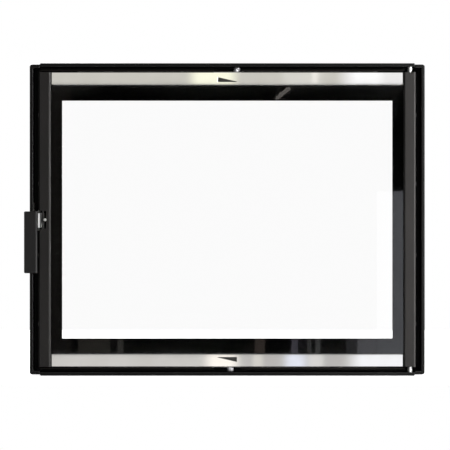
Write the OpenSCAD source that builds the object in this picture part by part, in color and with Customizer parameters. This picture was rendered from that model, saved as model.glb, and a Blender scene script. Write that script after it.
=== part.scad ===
// Glass door for a fireplace or wood stove. Origin: centre of the frame's rear face.
// X to the right, Y to the rear, Z up, in millimetres. The door's front faces -Y.

/* [Frame] */
// Frame width over the side stiles
frame_w = 632; // [480:1:900]
// Frame height over the rails
frame_h = 500; // [380:1:700]
// Depth of the lip round the leaf
frame_depth = 38; // [32:0.5:46]
// Lip thickness
lip_t = 5.6; // [3:0.1:7]
// Thickness of the rear base flange
base_t = 4; // [2.5:0.5:6]
// Base flange width at the stiles
base_w = 44; // [40:1:48]
// Base flange width at the rails
base_h = 42; // [38:1:46]
// How far the stiles' ends stand back from the rails
stile_drop = 2; // [0:0.5:3]
// Width of a stile's end, beside the rail
stile_end_w = 16; // [10:0.5:18]
// Radius of the frame's outer corners
corner_r = 4; // [1:0.5:6]
// Bolt hole diameter, for M6
bolt_d = 6.6; // [5:0.1:8]
// Distance from the frame's side to a bolt hole
bolt_inset = 20; // [17:0.5:22]
// Distance from the frame's end to a bolt hole
bolt_end = 60; // [30:1:120]

/* [Rope seal] */
// Rope diameter, pressed
rope_d = 10; // [8:0.1:10.4]
// Distance from the frame's side to the rope
rope_inset_x = 34; // [32:0.5:36]
// Distance from the frame's end to the rope
rope_inset_z = 31; // [29:0.5:34]
// Bend radius of the rope's corners
rope_bend = 14; // [10:1:30]
// Thickness of the ribs that hold the rope
rib_t = 1.2; // [1:0.1:1.5]
// Height of the ribs
rib_h = 4; // [2:0.5:5]

/* [Leaf] */
// Gap between leaf and side lip
side_gap = 8.9; // [8:0.1:12]
// Gap between leaf and top or bottom lip
end_gap = 4.4; // [4:0.1:8]
// Distance from the frame's rear face to the leaf's rear
leaf_back = 14.5; // [14.5:0.5:18]
// Thickness of the leaf's sheet
sheet_t = 2; // [1.5:0.1:2.5]
// Thickness of the top and bottom flanges
flange_t = 3; // [2:0.1:4]
// Depth of the air duct
duct_depth = 7.5; // [6.8:0.1:9]
// Radius of the flange's corners
flange_corner_r = 4; // [1:0.5:6]
// Depth of the flange in front of the duct's front wall
flange_reach = 10; // [9.2:0.1:11]

/* [Glass] */
// Glass thickness
glass_t = 4; // [3:0.5:5]
// Thickness of the tape behind the glass
tape_t = 1.7; // [1:0.1:3]
// Width of the tape
tape_w = 14; // [8:0.5:16]
// Thickness of the printed border
border_t = 0.3; // [0.2:0.1:0.5]
// Width of the printed border beside the profiles
border_side_w = 17.9; // [8:0.1:40]
// Height of the printed border beside the trims
border_end_w = 24.9; // [8:0.1:50]
// How far the side profiles lap over the glass
lap_x = 5.5; // [3:0.5:6]
// How far the trims lap over the glass
lap_z = 4.7; // [3:0.1:5]

/* [Side profiles] */
// Profile width
profile_w = 19; // [18:0.5:22]
// Thickness of the profile's face
profile_t = 2.4; // [2.3:0.1:3]
// Bevel of the profile's long edges
profile_bevel = 2.2; // [0.5:0.1:2.2]
// Height of the face over the glass
profile_rise = 8; // [7:0.1:10]
// Profile's end to the leaf's end
profile_end_gap = 4.5; // [4:0.1:6]
// Profile screw diameter
profile_screw_d = 4; // [3:0.5:4]

/* [Trims] */
// Trim height
trim_h = 20.7; // [19:0.1:24]
// Trim thickness
trim_t = 2.2; // [1.5:0.1:3]
// Bevel round the trim's face
trim_edge = 0.8; // [0.3:0.1:1]
// Gap between trim and profile
trim_gap = 1.5; // [0.5:0.1:2.5]
// Trim's edge to the leaf's end
trim_end_gap = 4; // [3.8:0.1:4.6]
// Length of a wedge mark
wedge_l = 30.5; // [20:0.5:40]
// Height of a wedge mark's thick end
wedge_h = 7.6; // [5:0.1:10]
// Height of a wedge mark's thin end
wedge_tip = 0.6; // [0.3:0.1:1]
// Trim's middle to the mark's flat edge
wedge_drop = 5.4; // [3:0.1:6]
// Depth of a wedge mark
wedge_depth = 0.6; // [0.3:0.1:0.8]
// Trim stud diameter
stud_d = 4; // [3:0.5:4]

/* [Hinge] */
// Hinge pin diameter
pin_d = 8; // [6:0.5:8]
// Leaf's side to the hinge axis
hinge_inset = 8.5; // [8:0.1:9.5]
// Wall of the hinge bush
bush_wall = 1; // [0.8:0.1:1.2]
// Height of a hinge block
block_h = 13.4; // [10:0.1:14]
// Thickness of the thrust disc
disc_t = 1.3; // [1:0.1:1.5]

/* [Catch and handle] */
// Height of the catch from the frame's centre
latch_z = -1.6; // [-60:0.2:60]
// Roller diameter
roller_d = 12; // [10:0.5:12]
// Roller length
roller_l = 24.5; // [18:0.5:34]
// How far the roller laps over the strike's nose
roller_bite = 0.8; // [0.4:0.1:1]
// Roller pin diameter
roller_pin_d = 4; // [3:0.5:5]
// Height of the strike's nose over the lip
nose_h = 3.2; // [3:0.1:3.6]
// Width of the strike's nose
nose_w = 3; // [2:0.1:3]
// Distance from the roller's axis to the nose
nose_lead = 4; // [3.8:0.1:4.4]
// Leaf's side to the handle's pivot
pivot_inset = 6.7; // [6.4:0.1:7]
// Pivot to the leaf's rear wall
pivot_back = 4; // [3.8:0.1:4.4]
// Pivot pin diameter
pivot_pin_d = 3; // [2.5:0.1:3.2]
// Roller's axis in front of the pivot
roller_lead = 10.5; // [10.4:0.1:12]
// Handle width
handle_w = 21; // [18:0.5:30]
// Handle length
handle_l = 98.8; // [60:0.2:160]
// Handle thickness
handle_t = 2; // [1.5:0.1:3]
// Inner radius of the bend at the handle's right side
handle_bend = 1.2; // [0.5:0.1:1.5]
// Gap between the profiles and the handle
handle_gap = 4; // [3:0.1:8]
// How far the handle stands inside the lip
handle_inset = 7; // [5:0.1:8]
// Depth of the roller's notch in the profile
notch_depth = 5.3; // [5.2:0.1:6]
// Width of the slot that the catch is set by
catch_slot_w = 3.6; // [3:0.1:4]
// Length of that slot
catch_slot_l = 28.4; // [16:0.2:32]
// Thickness of the handle's ears
ear_t = 1.4; // [1.2:0.1:2.2]
// Spring wire diameter
wire_d = 1; // [0.6:0.1:1]

/* [Air slides] */
// Thickness of the slide
slide_t = 1.5; // [1:0.1:1.8]
// Slide's end to the leaf's inner wall
slide_end_gap = 26; // [22:1:60]
// Travel of a slide
slide_travel = 30; // [20:1:30]
// Travel left to the bottom slide's open end
bottom_open_left = 10; // [0:1:20]
// Air slot length
slot_l = 26; // [16:0.5:28]
// Air slot width
slot_w = 5; // [3:0.1:5.2]
// Air slot pitch
slot_pitch = 60; // [60:0.5:62]
// Knob diameter
knob_d = 11.2; // [9:0.1:12]
// Knob height
knob_h = 6.6; // [5:0.1:6.8]
// Place of the top knob
knob_top_x = 15.6; // [5:0.1:25]
// Place of the bottom knob
knob_bottom_x = 4.9; // [-5:0.1:15]

/* [Fits] */
// Radial clearance of a moving pin
running_clear = 0.05; // [0.02:0.01:0.08]
// Radial clearance of a fixed pin
seat_clear = 0.02; // [0.01:0.01:0.05]
// Gap between sliding faces
slide_gap = 0.3; // [0.2:0.05:0.4]
// Gap between the glass and what holds it
rest_gap = 0.3; // [0.2:0.05:0.4]
// Gap at a welded seam
seam = 0.1; // [0.05:0.01:0.2]

/* [Hidden] */

round_fn = 96;
hex_fn = 6;
eps = 0.5;
past = 20;
head_t = 1.2;
nut_af_k = 1.75;
nut_t_k = 0.8;
screw_head_k = 1.75;

// Frame
frame_x = frame_w / 2;
frame_z = frame_h / 2;
stile_z = frame_z - stile_drop;
lip_x = frame_x - lip_t;
lip_z = frame_z - lip_t;
rail_x = frame_x - stile_end_w;
base_x = frame_x - base_w;
base_z = frame_z - base_h;
bolt_x = frame_x - bolt_inset;
bolt_z = frame_z - bolt_end;
y_lip = -frame_depth;
rope_x = frame_x - rope_inset_x;
rope_z = frame_z - rope_inset_z;
rope_r = rope_d / 2;
rope_y = -leaf_back + rest_gap + rope_r;
rib_off = rope_r + rest_gap;
rib_l = 2 * (rope_z - rope_bend);
rib_w = 2 * (rope_x - rope_bend);

// Leaf
leaf_x = lip_x - side_gap;
leaf_z = lip_z - end_gap;
flange_corner_cut = flange_t * 0.7;
profile_in_x = leaf_x - profile_w;
trim_out_z = leaf_z - trim_end_gap;
trim_in_z = trim_out_z - trim_h;
window_x = profile_in_x - border_side_w;
window_z = trim_in_z - border_end_w;
window_lap = 1.4;
leaf_in_x = window_x + window_lap;
leaf_in_z = window_z + window_lap;
flange_z = leaf_z - flange_t;
stile_top = flange_z - seam;
y_back = -leaf_back;
y_rear_in = y_back - sheet_t;
y_duct = y_rear_in - duct_depth;
y_sup = y_duct - sheet_t;
y_flange = y_sup - flange_reach;

// Glass, profiles and trims
y_tape = y_sup - tape_t;
y_glass_in = y_tape - border_t;
y_glass = y_glass_in - glass_t;
y_clamp = y_glass - rest_gap;
y_face = y_glass - profile_rise;
y_trim = y_clamp - trim_t;
profile_z = leaf_z - profile_end_gap;
glass_x = profile_in_x + lap_x;
trim_x = profile_in_x - trim_gap;
glass_z = trim_in_z + lap_z;
tape_x = glass_x - sheet_t;
tape_z = glass_z - sheet_t;
sup_x = glass_x + rest_gap + rest_gap;
y_face_in = y_face + profile_t;
stile_fold = y_face_in + rest_gap;
return_x = leaf_x - sheet_t - rest_gap;
return_depth = 9.6;
return_screw_k = 0.6;
y_return_screw = y_face_in + return_depth * return_screw_k;
return_end = glass_z;
screw_r = profile_screw_d / 2;
screw_head_r = screw_r * screw_head_k;
// Places along half a side, as shares of its length
screw_zs = [0.26, 0.76];
stud_r = stud_d / 2;
nut_af = stud_d * nut_af_k;
nut_t = stud_d * nut_t_k;
stud_z = trim_out_z - sheet_t - nut_af / 2 - slide_gap;
stud_xs = [0.3, 0.82];
sup_top = flange_z - slide_gap - slide_t - slide_gap - head_t - slide_gap;
outlet_l = 34;
outlet_w = 4.4;
outlet_pitch = 54;
outlet_n = floor((leaf_in_x - outlet_l / 2 - sheet_t) / outlet_pitch);

// Hinge
hinge_x = leaf_x - hinge_inset;
hinge_y = (y_back + y_face) / 2;
pin_r = pin_d / 2;
bush_r = pin_r + running_clear + bush_wall;
block_top = profile_z - sheet_t / 2 - eps;
block_bottom = block_top - block_h;
block_floor = 0.8;
disc_face = block_bottom + block_floor + disc_t;
bush_bottom = disc_face + seam;
bush_top = block_top + sheet_t / 2;
pin_end = disc_face + slide_gap;
block_in_x = hinge_x - bush_r - sheet_t - sheet_t / 2;
block_out_x = leaf_x - sheet_t - rest_gap;
hinge_notch = bush_r + sheet_t + sheet_t + slide_gap;

// Catch and handle: the catch is on the left, so its X values are negative
roller_r = roller_d / 2;
roller_edge = 0.6;
roller_x = -(lip_x - nose_h + roller_bite - roller_r);
pivot_x = -(leaf_x - pivot_inset);
pivot_y = y_rear_in - pivot_back;
roller_y = pivot_y - roller_lead;
roller_top = latch_z + roller_l / 2;
roller_bottom = latch_z - roller_l / 2;
ear_in_top = roller_top + slide_gap;
ear_out_top = ear_in_top + ear_t;
ear_in_bottom = roller_bottom - slide_gap;
ear_out_bottom = ear_in_bottom - ear_t;
roller_pin_r = roller_pin_d / 2;
pin_head_t = 1.8;
pin_head_lap = 0.6;
pin_head_r = roller_pin_r + pin_head_lap;
ear_r = pivot_back - slide_gap - slide_gap;
ear_front_angle = -23.5;
ear_back_angle = 143;
pivot_pin_r = pivot_pin_d / 2;
y_handle_in = y_face - handle_gap;
y_handle = y_handle_in - handle_t;
handle_right_x = -(lip_x - handle_inset);
handle_left_x = handle_right_x - handle_w;
handle_over = 0.65;
handle_top = ear_out_top + handle_over;
handle_bottom = handle_top - handle_l;
handle_corner_r = 2;
handle_return = 3;
notch_x = -(leaf_x - notch_depth);
notch_top = ear_out_top + pin_head_t + slide_gap;
notch_bottom = ear_out_bottom - pin_head_t - slide_gap;
lug_half = 3.6;
lug_rise = 1.2;
lug_z = latch_z + lug_rise;
lug_left = pivot_x - pivot_pin_r - sheet_t;
latch_screw_gap = 1.9;
latch_screw_x = pivot_x + pivot_pin_r + latch_screw_gap;
latch_screw_r = 1.25;
latch_screw_l = 9;
latch_head_r = 2.4;
latch_head_t = 1.8;
post_left = latch_screw_x - catch_slot_w / 2;
lug_right = latch_screw_x + catch_slot_w / 2;
lug_front = pivot_y - pivot_back;
post_front = y_face_in + seam;
slot_cut_w = 0.8;
slot_cut_depth = 0.7;
pivot_pin_top = ear_out_top + seam;
pivot_pin_bottom = ear_out_bottom - seam;
nose_tip_x = -(lip_x - nose_h);
strike_t = 1.2;
nose_front = roller_y - nose_lead - nose_w;
nose_back = roller_y - nose_lead;
strike_y_in = y_rear_in - sheet_t;
strike_screw_y = (y_lip + strike_y_in) / 2;
strike_z = 29;
strike_screw_z = 22;
strike_screw_r = 2;
strike_head_r = 3.6;
strike_skin = 1.5;
strike_nose_z = roller_l / 2 - sheet_t;
coil_r = pivot_pin_r + slide_gap + wire_d / 2 + slide_gap;
coil_z = lug_z + lug_half + slide_gap;
coil_n = floor((ear_in_top - slide_gap - coil_z) / wire_d);
wire_r = wire_d / 2;
leg_dir = [roller_x - pivot_x, roller_y - pivot_y] / norm([roller_x - pivot_x, roller_y - pivot_y]);
leg_sink = 2;

// Air slides
slide_out = flange_z - slide_gap;
slide_in = slide_out - slide_t;
slide_y_in = y_rear_in - slide_gap - slide_gap;
slide_y_out = y_clamp + slide_gap + slide_gap;
slot_y = (y_rear_in + y_duct) / 2;
knob_r = knob_d / 2;
knob_lead = 1.4;
knob_y = y_sup - knob_lead;
knob_dome = 1.6;
knob_step = 15;
knob_screw_r = 1.5;
knob_screw_head = 3;
knob_screw_l = 4.2;
slide_stud_r = 2;
slide_stud_head = 3.2;
slide_stud_end = 15;
slide_stud_y = knob_y;
slide_half = leaf_in_x - slide_end_gap;
slide_stud_x = slide_half - slide_travel - slide_stud_end;
notch_clear = 1.4;
notch_back = knob_y + knob_r + notch_clear;
slot_ns = [1:floor((slide_half - slide_travel - slot_l / 2) / slot_pitch)];
top_range = [-slide_travel, 0];
bottom_range = [bottom_open_left - slide_travel, bottom_open_left];

// ---------- building blocks ----------

module span(xa, xb, ya, yb, za, zb) {
    translate([min(xa, xb), min(ya, yb), min(za, zb)])
        cube([abs(xb - xa), abs(yb - ya), abs(zb - za)]);
}

module rod_x(xa, xb, y, z, r) {
    translate([min(xa, xb), y, z])
        rotate([0, 90, 0])
            cylinder(h = abs(xb - xa), r = r, $fn = round_fn);
}

module rod_y(x, ya, yb, z, r) {
    translate([x, max(ya, yb), z])
        rotate([90, 0, 0])
            cylinder(h = abs(yb - ya), r = r, $fn = round_fn);
}

module rod_z(x, y, za, zb, r) {
    translate([x, y, min(za, zb)])
        cylinder(h = abs(zb - za), r = r, $fn = round_fn);
}

// A slot along X, through from za to zb
module slot_x(xa, xb, y, za, zb, r) {
    span(xa + r, xb - r, y - r, y + r, za, zb);
    rod_z(xa + r, y, za, zb, r);
    rod_z(xb - r, y, za, zb, r);
}

// What a rounding of radius r takes off the corner at x, z that points the way of s and e
module corner_cut(x, z, r, s, e) {
    difference() {
        span(x - s * r, x + s * past, -frame_depth - past, past, z - e * r, z + e * past);
        rod_y(x - s * r, -frame_depth - past, past, z - e * r, r);
    }
}

module ring(x, z, in_x, in_z, ya, yb) {
    difference() {
        span(-x, x, ya, yb, -z, z);
        span(-in_x, in_x, ya - eps, yb + eps, -in_z, in_z);
    }
}

// ---------- fixed frame ----------

module frame_stile(s) {
    difference() {
        union() {
            span(s * base_x, s * frame_x, -base_t, 0, -stile_z, stile_z);
            span(s * lip_x, s * frame_x, y_lip, 0, -stile_z, stile_z);
            for (e = [-1, 1])
                span(s * rail_x, s * frame_x, y_lip, 0, e * (stile_z - lip_t), e * stile_z);
            for (k = [-1, 1])
                span(s * (rope_x + k * rib_off), s * (rope_x + k * (rib_off + rib_t)),
                    -base_t - rib_h, -base_t + eps, -rib_l / 2, rib_l / 2);
        }
        for (e = [-1, 1]) {
            rod_y(s * bolt_x, -base_t - eps, eps, e * bolt_z, bolt_d / 2);
            corner_cut(s * frame_x, e * stile_z, corner_r, s, e);
        }
        if (s < 0)
            for (k = [-1, 1])
                rod_x(-frame_x + strike_skin, -lip_x + eps, strike_screw_y,
                    latch_z + k * strike_screw_z, strike_screw_r + seat_clear);
    }
}

module frame_left_stile() {
    color([0.10, 0.10, 0.10]) frame_stile(-1);
}

module frame_right_stile() {
    color([0.10, 0.10, 0.10]) frame_stile(1);
}

module frame_rail(e) {
    difference() {
        union() {
            span(-base_x + seam, base_x - seam, -base_t, 0, e * base_z, e * frame_z);
            span(-base_x + seam, base_x - seam, y_lip, 0, e * lip_z, e * frame_z);
            span(-rail_x + seam, rail_x - seam, y_lip, -base_t - seam, e * lip_z, e * frame_z);
            for (k = [-1, 1])
                span(-rib_w / 2, rib_w / 2, -base_t - rib_h, -base_t + eps,
                    e * (rope_z + k * rib_off), e * (rope_z + k * (rib_off + rib_t)));
        }
        rod_z(hinge_x, hinge_y, e * (lip_z - eps), e * (frame_z + eps), pin_r + seat_clear);
    }
}

module frame_top_rail() {
    color([0.11, 0.11, 0.11]) frame_rail(1);
}

module frame_bottom_rail() {
    color([0.11, 0.11, 0.11]) frame_rail(-1);
}

module strike_plate() {
    color([0.45, 0.45, 0.46])
        difference() {
            span(-lip_x, -lip_x + strike_t, nose_front, strike_y_in,
                latch_z - strike_z, latch_z + strike_z);
            for (k = [-1, 1])
                rod_x(-lip_x - eps, -lip_x + strike_t + eps, strike_screw_y,
                    latch_z + k * strike_screw_z, strike_screw_r + seat_clear);
        }
}

// The bar that the roller snaps behind, welded to the strike plate
module strike_nose() {
    za = latch_z - strike_nose_z;
    zb = latch_z + strike_nose_z;
    color([0.5, 0.5, 0.5]) intersection() {
        union() {
            span(-lip_x + strike_t, nose_tip_x - nose_w / 2, nose_front, nose_back, za, zb);
            rod_z(nose_tip_x - nose_w / 2, (nose_front + nose_back) / 2, za, zb, nose_w / 2);
        }
        span(-lip_x + strike_t, nose_tip_x + eps, nose_front - eps, nose_back + eps, za - eps, zb + eps);
    }
}

module strike_screws() {
    seat_x = -lip_x + strike_t;
    color([0.6, 0.6, 0.6])
        for (k = [-1, 1])
            translate([0, 0, latch_z + k * strike_screw_z])
                difference() {
                    union() {
                        rod_x(-frame_x + strike_skin + seam, seat_x, strike_screw_y, 0, strike_screw_r);
                        rod_x(seat_x, seat_x + head_t, strike_screw_y, 0, strike_head_r);
                    }
                    span(seat_x + head_t - slot_cut_depth, seat_x + head_t + eps, y_lip, strike_y_in,
                        -slot_cut_w / 2, slot_cut_w / 2);
                }
}

module door_rope_seal() {
    color([0.35, 0.34, 0.32]) {
        for (s = [-1, 1])
            rod_z(s * rope_x, rope_y, -rope_z + rope_bend, rope_z - rope_bend, rope_r);
        for (e = [-1, 1])
            rod_x(-rope_x + rope_bend, rope_x - rope_bend, rope_y, e * rope_z, rope_r);
        for (s = [-1, 1])
            for (e = [-1, 1])
                translate([s * (rope_x - rope_bend), rope_y, e * (rope_z - rope_bend)])
                    rotate([0, s > 0 ? (e > 0 ? 0 : 90) : (e > 0 ? 270 : 180), 0])
                        rotate([90, 0, 0])
                            rotate_extrude(angle = 90, $fn = round_fn)
                                translate([rope_bend, 0])
                                    circle(r = rope_r, $fn = round_fn);
    }
}

module hinge_pin(e) {
    difference() {
        rod_z(hinge_x, hinge_y, e * pin_end, e * frame_z, pin_r);
        span(hinge_x - past, hinge_x + past, hinge_y - slot_cut_w / 2, hinge_y + slot_cut_w / 2,
            e * (frame_z - slot_cut_depth), e * (frame_z + eps));
    }
}

module hinge_pin_top() {
    color([0.8, 0.8, 0.8]) hinge_pin(1);
}

module hinge_pin_bottom() {
    color([0.8, 0.8, 0.8]) hinge_pin(-1);
}

// ---------- leaf ----------

module leaf_stile(s) {
    difference() {
        union() {
            span(s * leaf_in_x, s * leaf_x, y_rear_in, y_back, -stile_top, stile_top);
            span(s * (leaf_x - sheet_t), s * leaf_x, stile_fold, y_back, -stile_top, stile_top);
            span(s * leaf_in_x, s * (leaf_in_x + sheet_t), y_sup, y_back, -stile_top, stile_top);
            span(s * leaf_in_x, s * sup_x, y_sup, y_duct, -glass_z, glass_z);
        }
        // The slides' ends run over the stile's inner wall
        for (e = [-1, 1]) {
            span(s * (leaf_in_x - eps), s * (leaf_in_x + sheet_t + eps), y_sup - eps, y_rear_in,
                e * sup_top, e * (stile_top + eps));
            for (f = screw_zs)
                rod_x(s * (leaf_x - sheet_t - eps), s * (leaf_x + eps), y_return_screw,
                    e * f * glass_z, screw_r + seat_clear);
        }
        if (s < 0) {
            span(-leaf_x - eps, -leaf_x + sheet_t + eps, y_face, y_rear_in, notch_bottom, notch_top);
        }
    }
}

module leaf_left_stile() {
    color([0.08, 0.08, 0.08]) leaf_stile(-1);
}

module leaf_right_stile() {
    color([0.08, 0.08, 0.08]) leaf_stile(1);
}

module leaf_rail(e, knob_x, range) {
    end_x = leaf_in_x - seam;
    difference() {
        union() {
            span(-end_x, end_x, y_rear_in, y_back, e * leaf_in_z, e * leaf_z);
            span(-end_x, end_x, y_sup, y_back, e * leaf_in_z, e * (leaf_in_z + sheet_t));
            span(-end_x, end_x, y_sup, y_duct, e * leaf_in_z, e * sup_top);
            difference() {
                span(-leaf_x, leaf_x, y_flange, y_back, e * flange_z, e * leaf_z);
                // The latch side's front corner, seen from the front, is rounded
                difference() {
                    span(-leaf_x - eps, -leaf_x + flange_corner_r, y_flange - eps, y_back + eps,
                        e * (leaf_z - flange_corner_cut), e * (leaf_z + eps));
                    rod_y(-leaf_x + flange_corner_r, y_flange - eps, y_back + eps,
                        e * (leaf_z - flange_corner_r), flange_corner_r);
                }
            }
        }
        span(hinge_x - hinge_notch, leaf_x + eps, y_flange - eps, hinge_y + hinge_notch,
            e * (flange_z - eps), e * (leaf_z + eps));
        // The knob's notch, open at the front
        span(knob_x + range[0] - knob_r - notch_clear, knob_x + range[1] + knob_r + notch_clear,
            y_flange - eps, notch_back, e * (flange_z - eps), e * (leaf_z + eps));
        for (k = [-1, 1]) {
            for (n = slot_ns)
                slot_x(k * n * slot_pitch - slot_l / 2, k * n * slot_pitch + slot_l / 2, slot_y,
                    flange_z_low(e), flange_z_high(e), slot_w / 2);
            rod_z(k * slide_stud_x, slide_stud_y, e * (flange_z - eps), e * (leaf_z + eps),
                slide_stud_r + seat_clear);
            for (f = stud_xs)
                rod_y(k * f * trim_x, y_sup - eps, y_duct + eps, e * stud_z, stud_r + seat_clear);
        }
        for (n = [-outlet_n:outlet_n])
            slot_x(n * outlet_pitch - outlet_l / 2, n * outlet_pitch + outlet_l / 2,
                (y_rear_in + y_duct) / 2, inner_low(e), inner_high(e), outlet_w / 2);
    }
}

function flange_z_low(e) = min(e * (flange_z - eps), e * (leaf_z + eps));
function flange_z_high(e) = max(e * (flange_z - eps), e * (leaf_z + eps));
function inner_low(e) = min(e * (leaf_in_z - eps), e * (leaf_in_z + sheet_t + eps));
function inner_high(e) = max(e * (leaf_in_z - eps), e * (leaf_in_z + sheet_t + eps));

module leaf_top_rail() {
    color([0.08, 0.08, 0.08]) leaf_rail(1, knob_top_x, top_range);
}

module leaf_bottom_rail() {
    color([0.08, 0.08, 0.08]) leaf_rail(-1, knob_bottom_x, bottom_range);
}

module hinge_blocks() {
    color([0.2, 0.2, 0.2])
        for (e = [-1, 1])
            difference() {
                span(block_in_x, block_out_x, y_face_in + seam, y_rear_in - seam,
                    e * block_bottom, e * block_top);
                rod_z(hinge_x, hinge_y, e * (block_bottom + block_floor), e * (block_top + eps),
                    bush_r + seat_clear);
            }
}

module hinge_bush(e) {
    difference() {
        rod_z(hinge_x, hinge_y, e * bush_bottom, e * bush_top, bush_r);
        rod_z(hinge_x, hinge_y, e * (bush_bottom - eps), e * (bush_top + eps), pin_r + running_clear);
    }
}

module hinge_bush_top() {
    color([0.7, 0.55, 0.3]) hinge_bush(1);
}

module hinge_bush_bottom() {
    color([0.7, 0.55, 0.3]) hinge_bush(-1);
}

module hinge_thrust_disc() {
    color([0.6, 0.6, 0.6])
        rod_z(hinge_x, hinge_y, -disc_face, -(block_bottom + block_floor), bush_r - slide_gap);
}

module glass_pane() {
    color([0.7, 0.75, 0.8, 0.35])
        span(-glass_x, glass_x, y_glass, y_glass_in, -glass_z, glass_z);
}

module glass_printed_border() {
    color([0.01, 0.01, 0.01]) ring(glass_x, glass_z, window_x, window_z, y_glass_in, y_tape);
}

module glass_seal_tape() {
    color([0.2, 0.2, 0.19])
        ring(tape_x, tape_z, tape_x - tape_w, tape_z - tape_w, y_tape, y_sup);
}

module glass_profile(s) {
    b = profile_bevel;
    difference() {
        translate([0, 0, -profile_z])
            linear_extrude(height = 2 * profile_z)
                polygon([
                    [s * profile_in_x, y_clamp],
                    [s * profile_in_x, y_face + b],
                    [s * (profile_in_x + b), y_face],
                    [s * (leaf_x - b), y_face],
                    [s * leaf_x, y_face + b],
                    [s * leaf_x, y_face_in],
                    [s * return_x, y_face_in],
                    [s * return_x, y_face_in + return_depth],
                    [s * (return_x - sheet_t), y_face_in + return_depth],
                    [s * (return_x - sheet_t), y_face_in],
                    [s * (profile_in_x + sheet_t), y_face_in],
                    [s * (profile_in_x + sheet_t), y_clamp]
                ]);
        for (e = [-1, 1]) {
            span(s * (return_x - sheet_t - eps), s * (return_x + eps), y_face_in,
                y_face_in + return_depth + eps, e * return_end, e * (profile_z + eps));
            for (f = screw_zs)
                rod_x(s * (return_x - sheet_t - eps), s * (return_x + eps), y_return_screw,
                    e * f * glass_z, screw_r + seat_clear);
        }
        if (s < 0) {
            span(-leaf_x - eps, notch_x, y_face - eps, y_face_in + eps, notch_bottom, notch_top);
            span(-leaf_x - eps, -return_x + sheet_t + eps, y_face_in, y_face_in + return_depth + eps,
                notch_bottom, notch_top);
            span(post_left, lug_right, y_face - eps, y_face_in + eps,
                lug_z - catch_slot_l / 2, lug_z + catch_slot_l / 2);
        }
    }
}

module left_glass_profile() {
    color([0.16, 0.16, 0.16]) glass_profile(-1);
}

module right_glass_profile() {
    color([0.16, 0.16, 0.16]) glass_profile(1);
}

module profile_screws() {
    color([0.3, 0.3, 0.3])
        for (s = [-1, 1])
            for (e = [-1, 1])
                for (f = screw_zs)
                    translate([0, y_return_screw, e * f * glass_z])
                        difference() {
                            union() {
                                rod_x(s * (return_x - sheet_t * 2), s * leaf_x, 0, 0, screw_r);
                                rod_x(s * leaf_x, s * (leaf_x + head_t), 0, 0, screw_head_r);
                            }
                            span(s * (leaf_x + head_t - slot_cut_depth), s * (leaf_x + head_t + eps),
                                -past, past, -slot_cut_w / 2, slot_cut_w / 2);
                        }
}

// The wedge: e turns the bottom one half a turn
module wedge(e, ya, yb) {
    flat_z = (trim_out_z + trim_in_z) / 2 - wedge_drop;
    translate([0, max(ya, yb), 0])
        rotate([90, 0, 0])
            linear_extrude(height = abs(yb - ya))
                polygon([
                    [-e * wedge_l / 2, e * flat_z],
                    [e * wedge_l / 2, e * flat_z],
                    [e * wedge_l / 2, e * (flat_z + wedge_tip)],
                    [-e * wedge_l / 2, e * (flat_z + wedge_h)]
                ]);
}

module trim(e) {
    c = trim_edge;
    za = e * trim_in_z;
    zb = e * trim_out_z;
    difference() {
        translate([-trim_x, 0, 0])
            rotate([90, 0, 90])
                linear_extrude(height = 2 * trim_x)
                    polygon([
                        [y_clamp, za],
                        [y_trim + c, za],
                        [y_trim, za + e * c],
                        [y_trim, zb - e * c],
                        [y_trim + c, zb],
                        [y_clamp, zb]
                    ]);
        wedge(e, y_trim - eps, y_trim + wedge_depth);
    }
}

module top_trim() {
    color([0.8, 0.8, 0.78]) trim(1);
}

module bottom_trim() {
    color([0.8, 0.8, 0.78]) trim(-1);
}

module air_wedge_marks() {
    color([0.05, 0.05, 0.05])
        for (e = [-1, 1])
            wedge(e, y_trim, y_trim + wedge_depth);
}

module trim_studs() {
    color([0.6, 0.6, 0.6])
        for (e = [-1, 1])
            for (k = [-1, 1])
                for (f = stud_xs)
                    rod_y(k * f * trim_x, y_clamp, y_duct + stud_d + seam, e * stud_z, stud_r);
}

module trim_nuts() {
    color([0.55, 0.55, 0.55])
        for (e = [-1, 1])
            for (k = [-1, 1])
                for (f = stud_xs)
                    translate([k * f * trim_x, y_duct + nut_t, e * stud_z])
                        rotate([90, 0, 0])
                            difference() {
                                cylinder(h = nut_t, r = nut_af / sqrt(3), $fn = hex_fn);
                                translate([0, 0, -eps])
                                    cylinder(h = nut_t + 2 * eps, r = stud_r + seat_clear, $fn = round_fn);
                            }
}

// ---------- catch and handle ----------

module latch_bracket() {
    color([0.35, 0.35, 0.36])
        difference() {
            union() {
                span(lug_left, lug_right, lug_front, y_rear_in, lug_z - lug_half, lug_z + lug_half);
                span(post_left, lug_right, post_front, lug_front + eps, lug_z - lug_half, lug_z + lug_half);
            }
            rod_z(pivot_x, pivot_y, lug_z - lug_half - eps, lug_z + lug_half + eps,
                pivot_pin_r + seat_clear);
            rod_y(latch_screw_x, post_front - eps, post_front + latch_screw_l, lug_z,
                latch_screw_r + seat_clear);
            rod_z(pivot_x, pivot_y + coil_r, lug_z + lug_half - leg_sink - seam, lug_z + lug_half + eps,
                wire_r + running_clear);
        }
}

module latch_screw() {
    color([0.85, 0.85, 0.85])
        difference() {
            union() {
                rod_y(latch_screw_x, y_face, post_front + latch_screw_l - seam, lug_z, latch_screw_r);
                rod_y(latch_screw_x, y_face - latch_head_t, y_face, lug_z, latch_head_r);
            }
            span(latch_screw_x - past, latch_screw_x + past, y_face - latch_head_t - eps,
                y_face - latch_head_t + slot_cut_depth,
                lug_z - slot_cut_w / 2, lug_z + slot_cut_w / 2);
        }
}

module latch_pivot_pin() {
    color([0.6, 0.6, 0.6])
        rod_z(pivot_x, pivot_y, pivot_pin_bottom, pivot_pin_top, pivot_pin_r);
}

// A point on the ear's round end
function ear_end(angle) = [pivot_x + ear_r * cos(angle), pivot_y + ear_r * sin(angle)];

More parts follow.
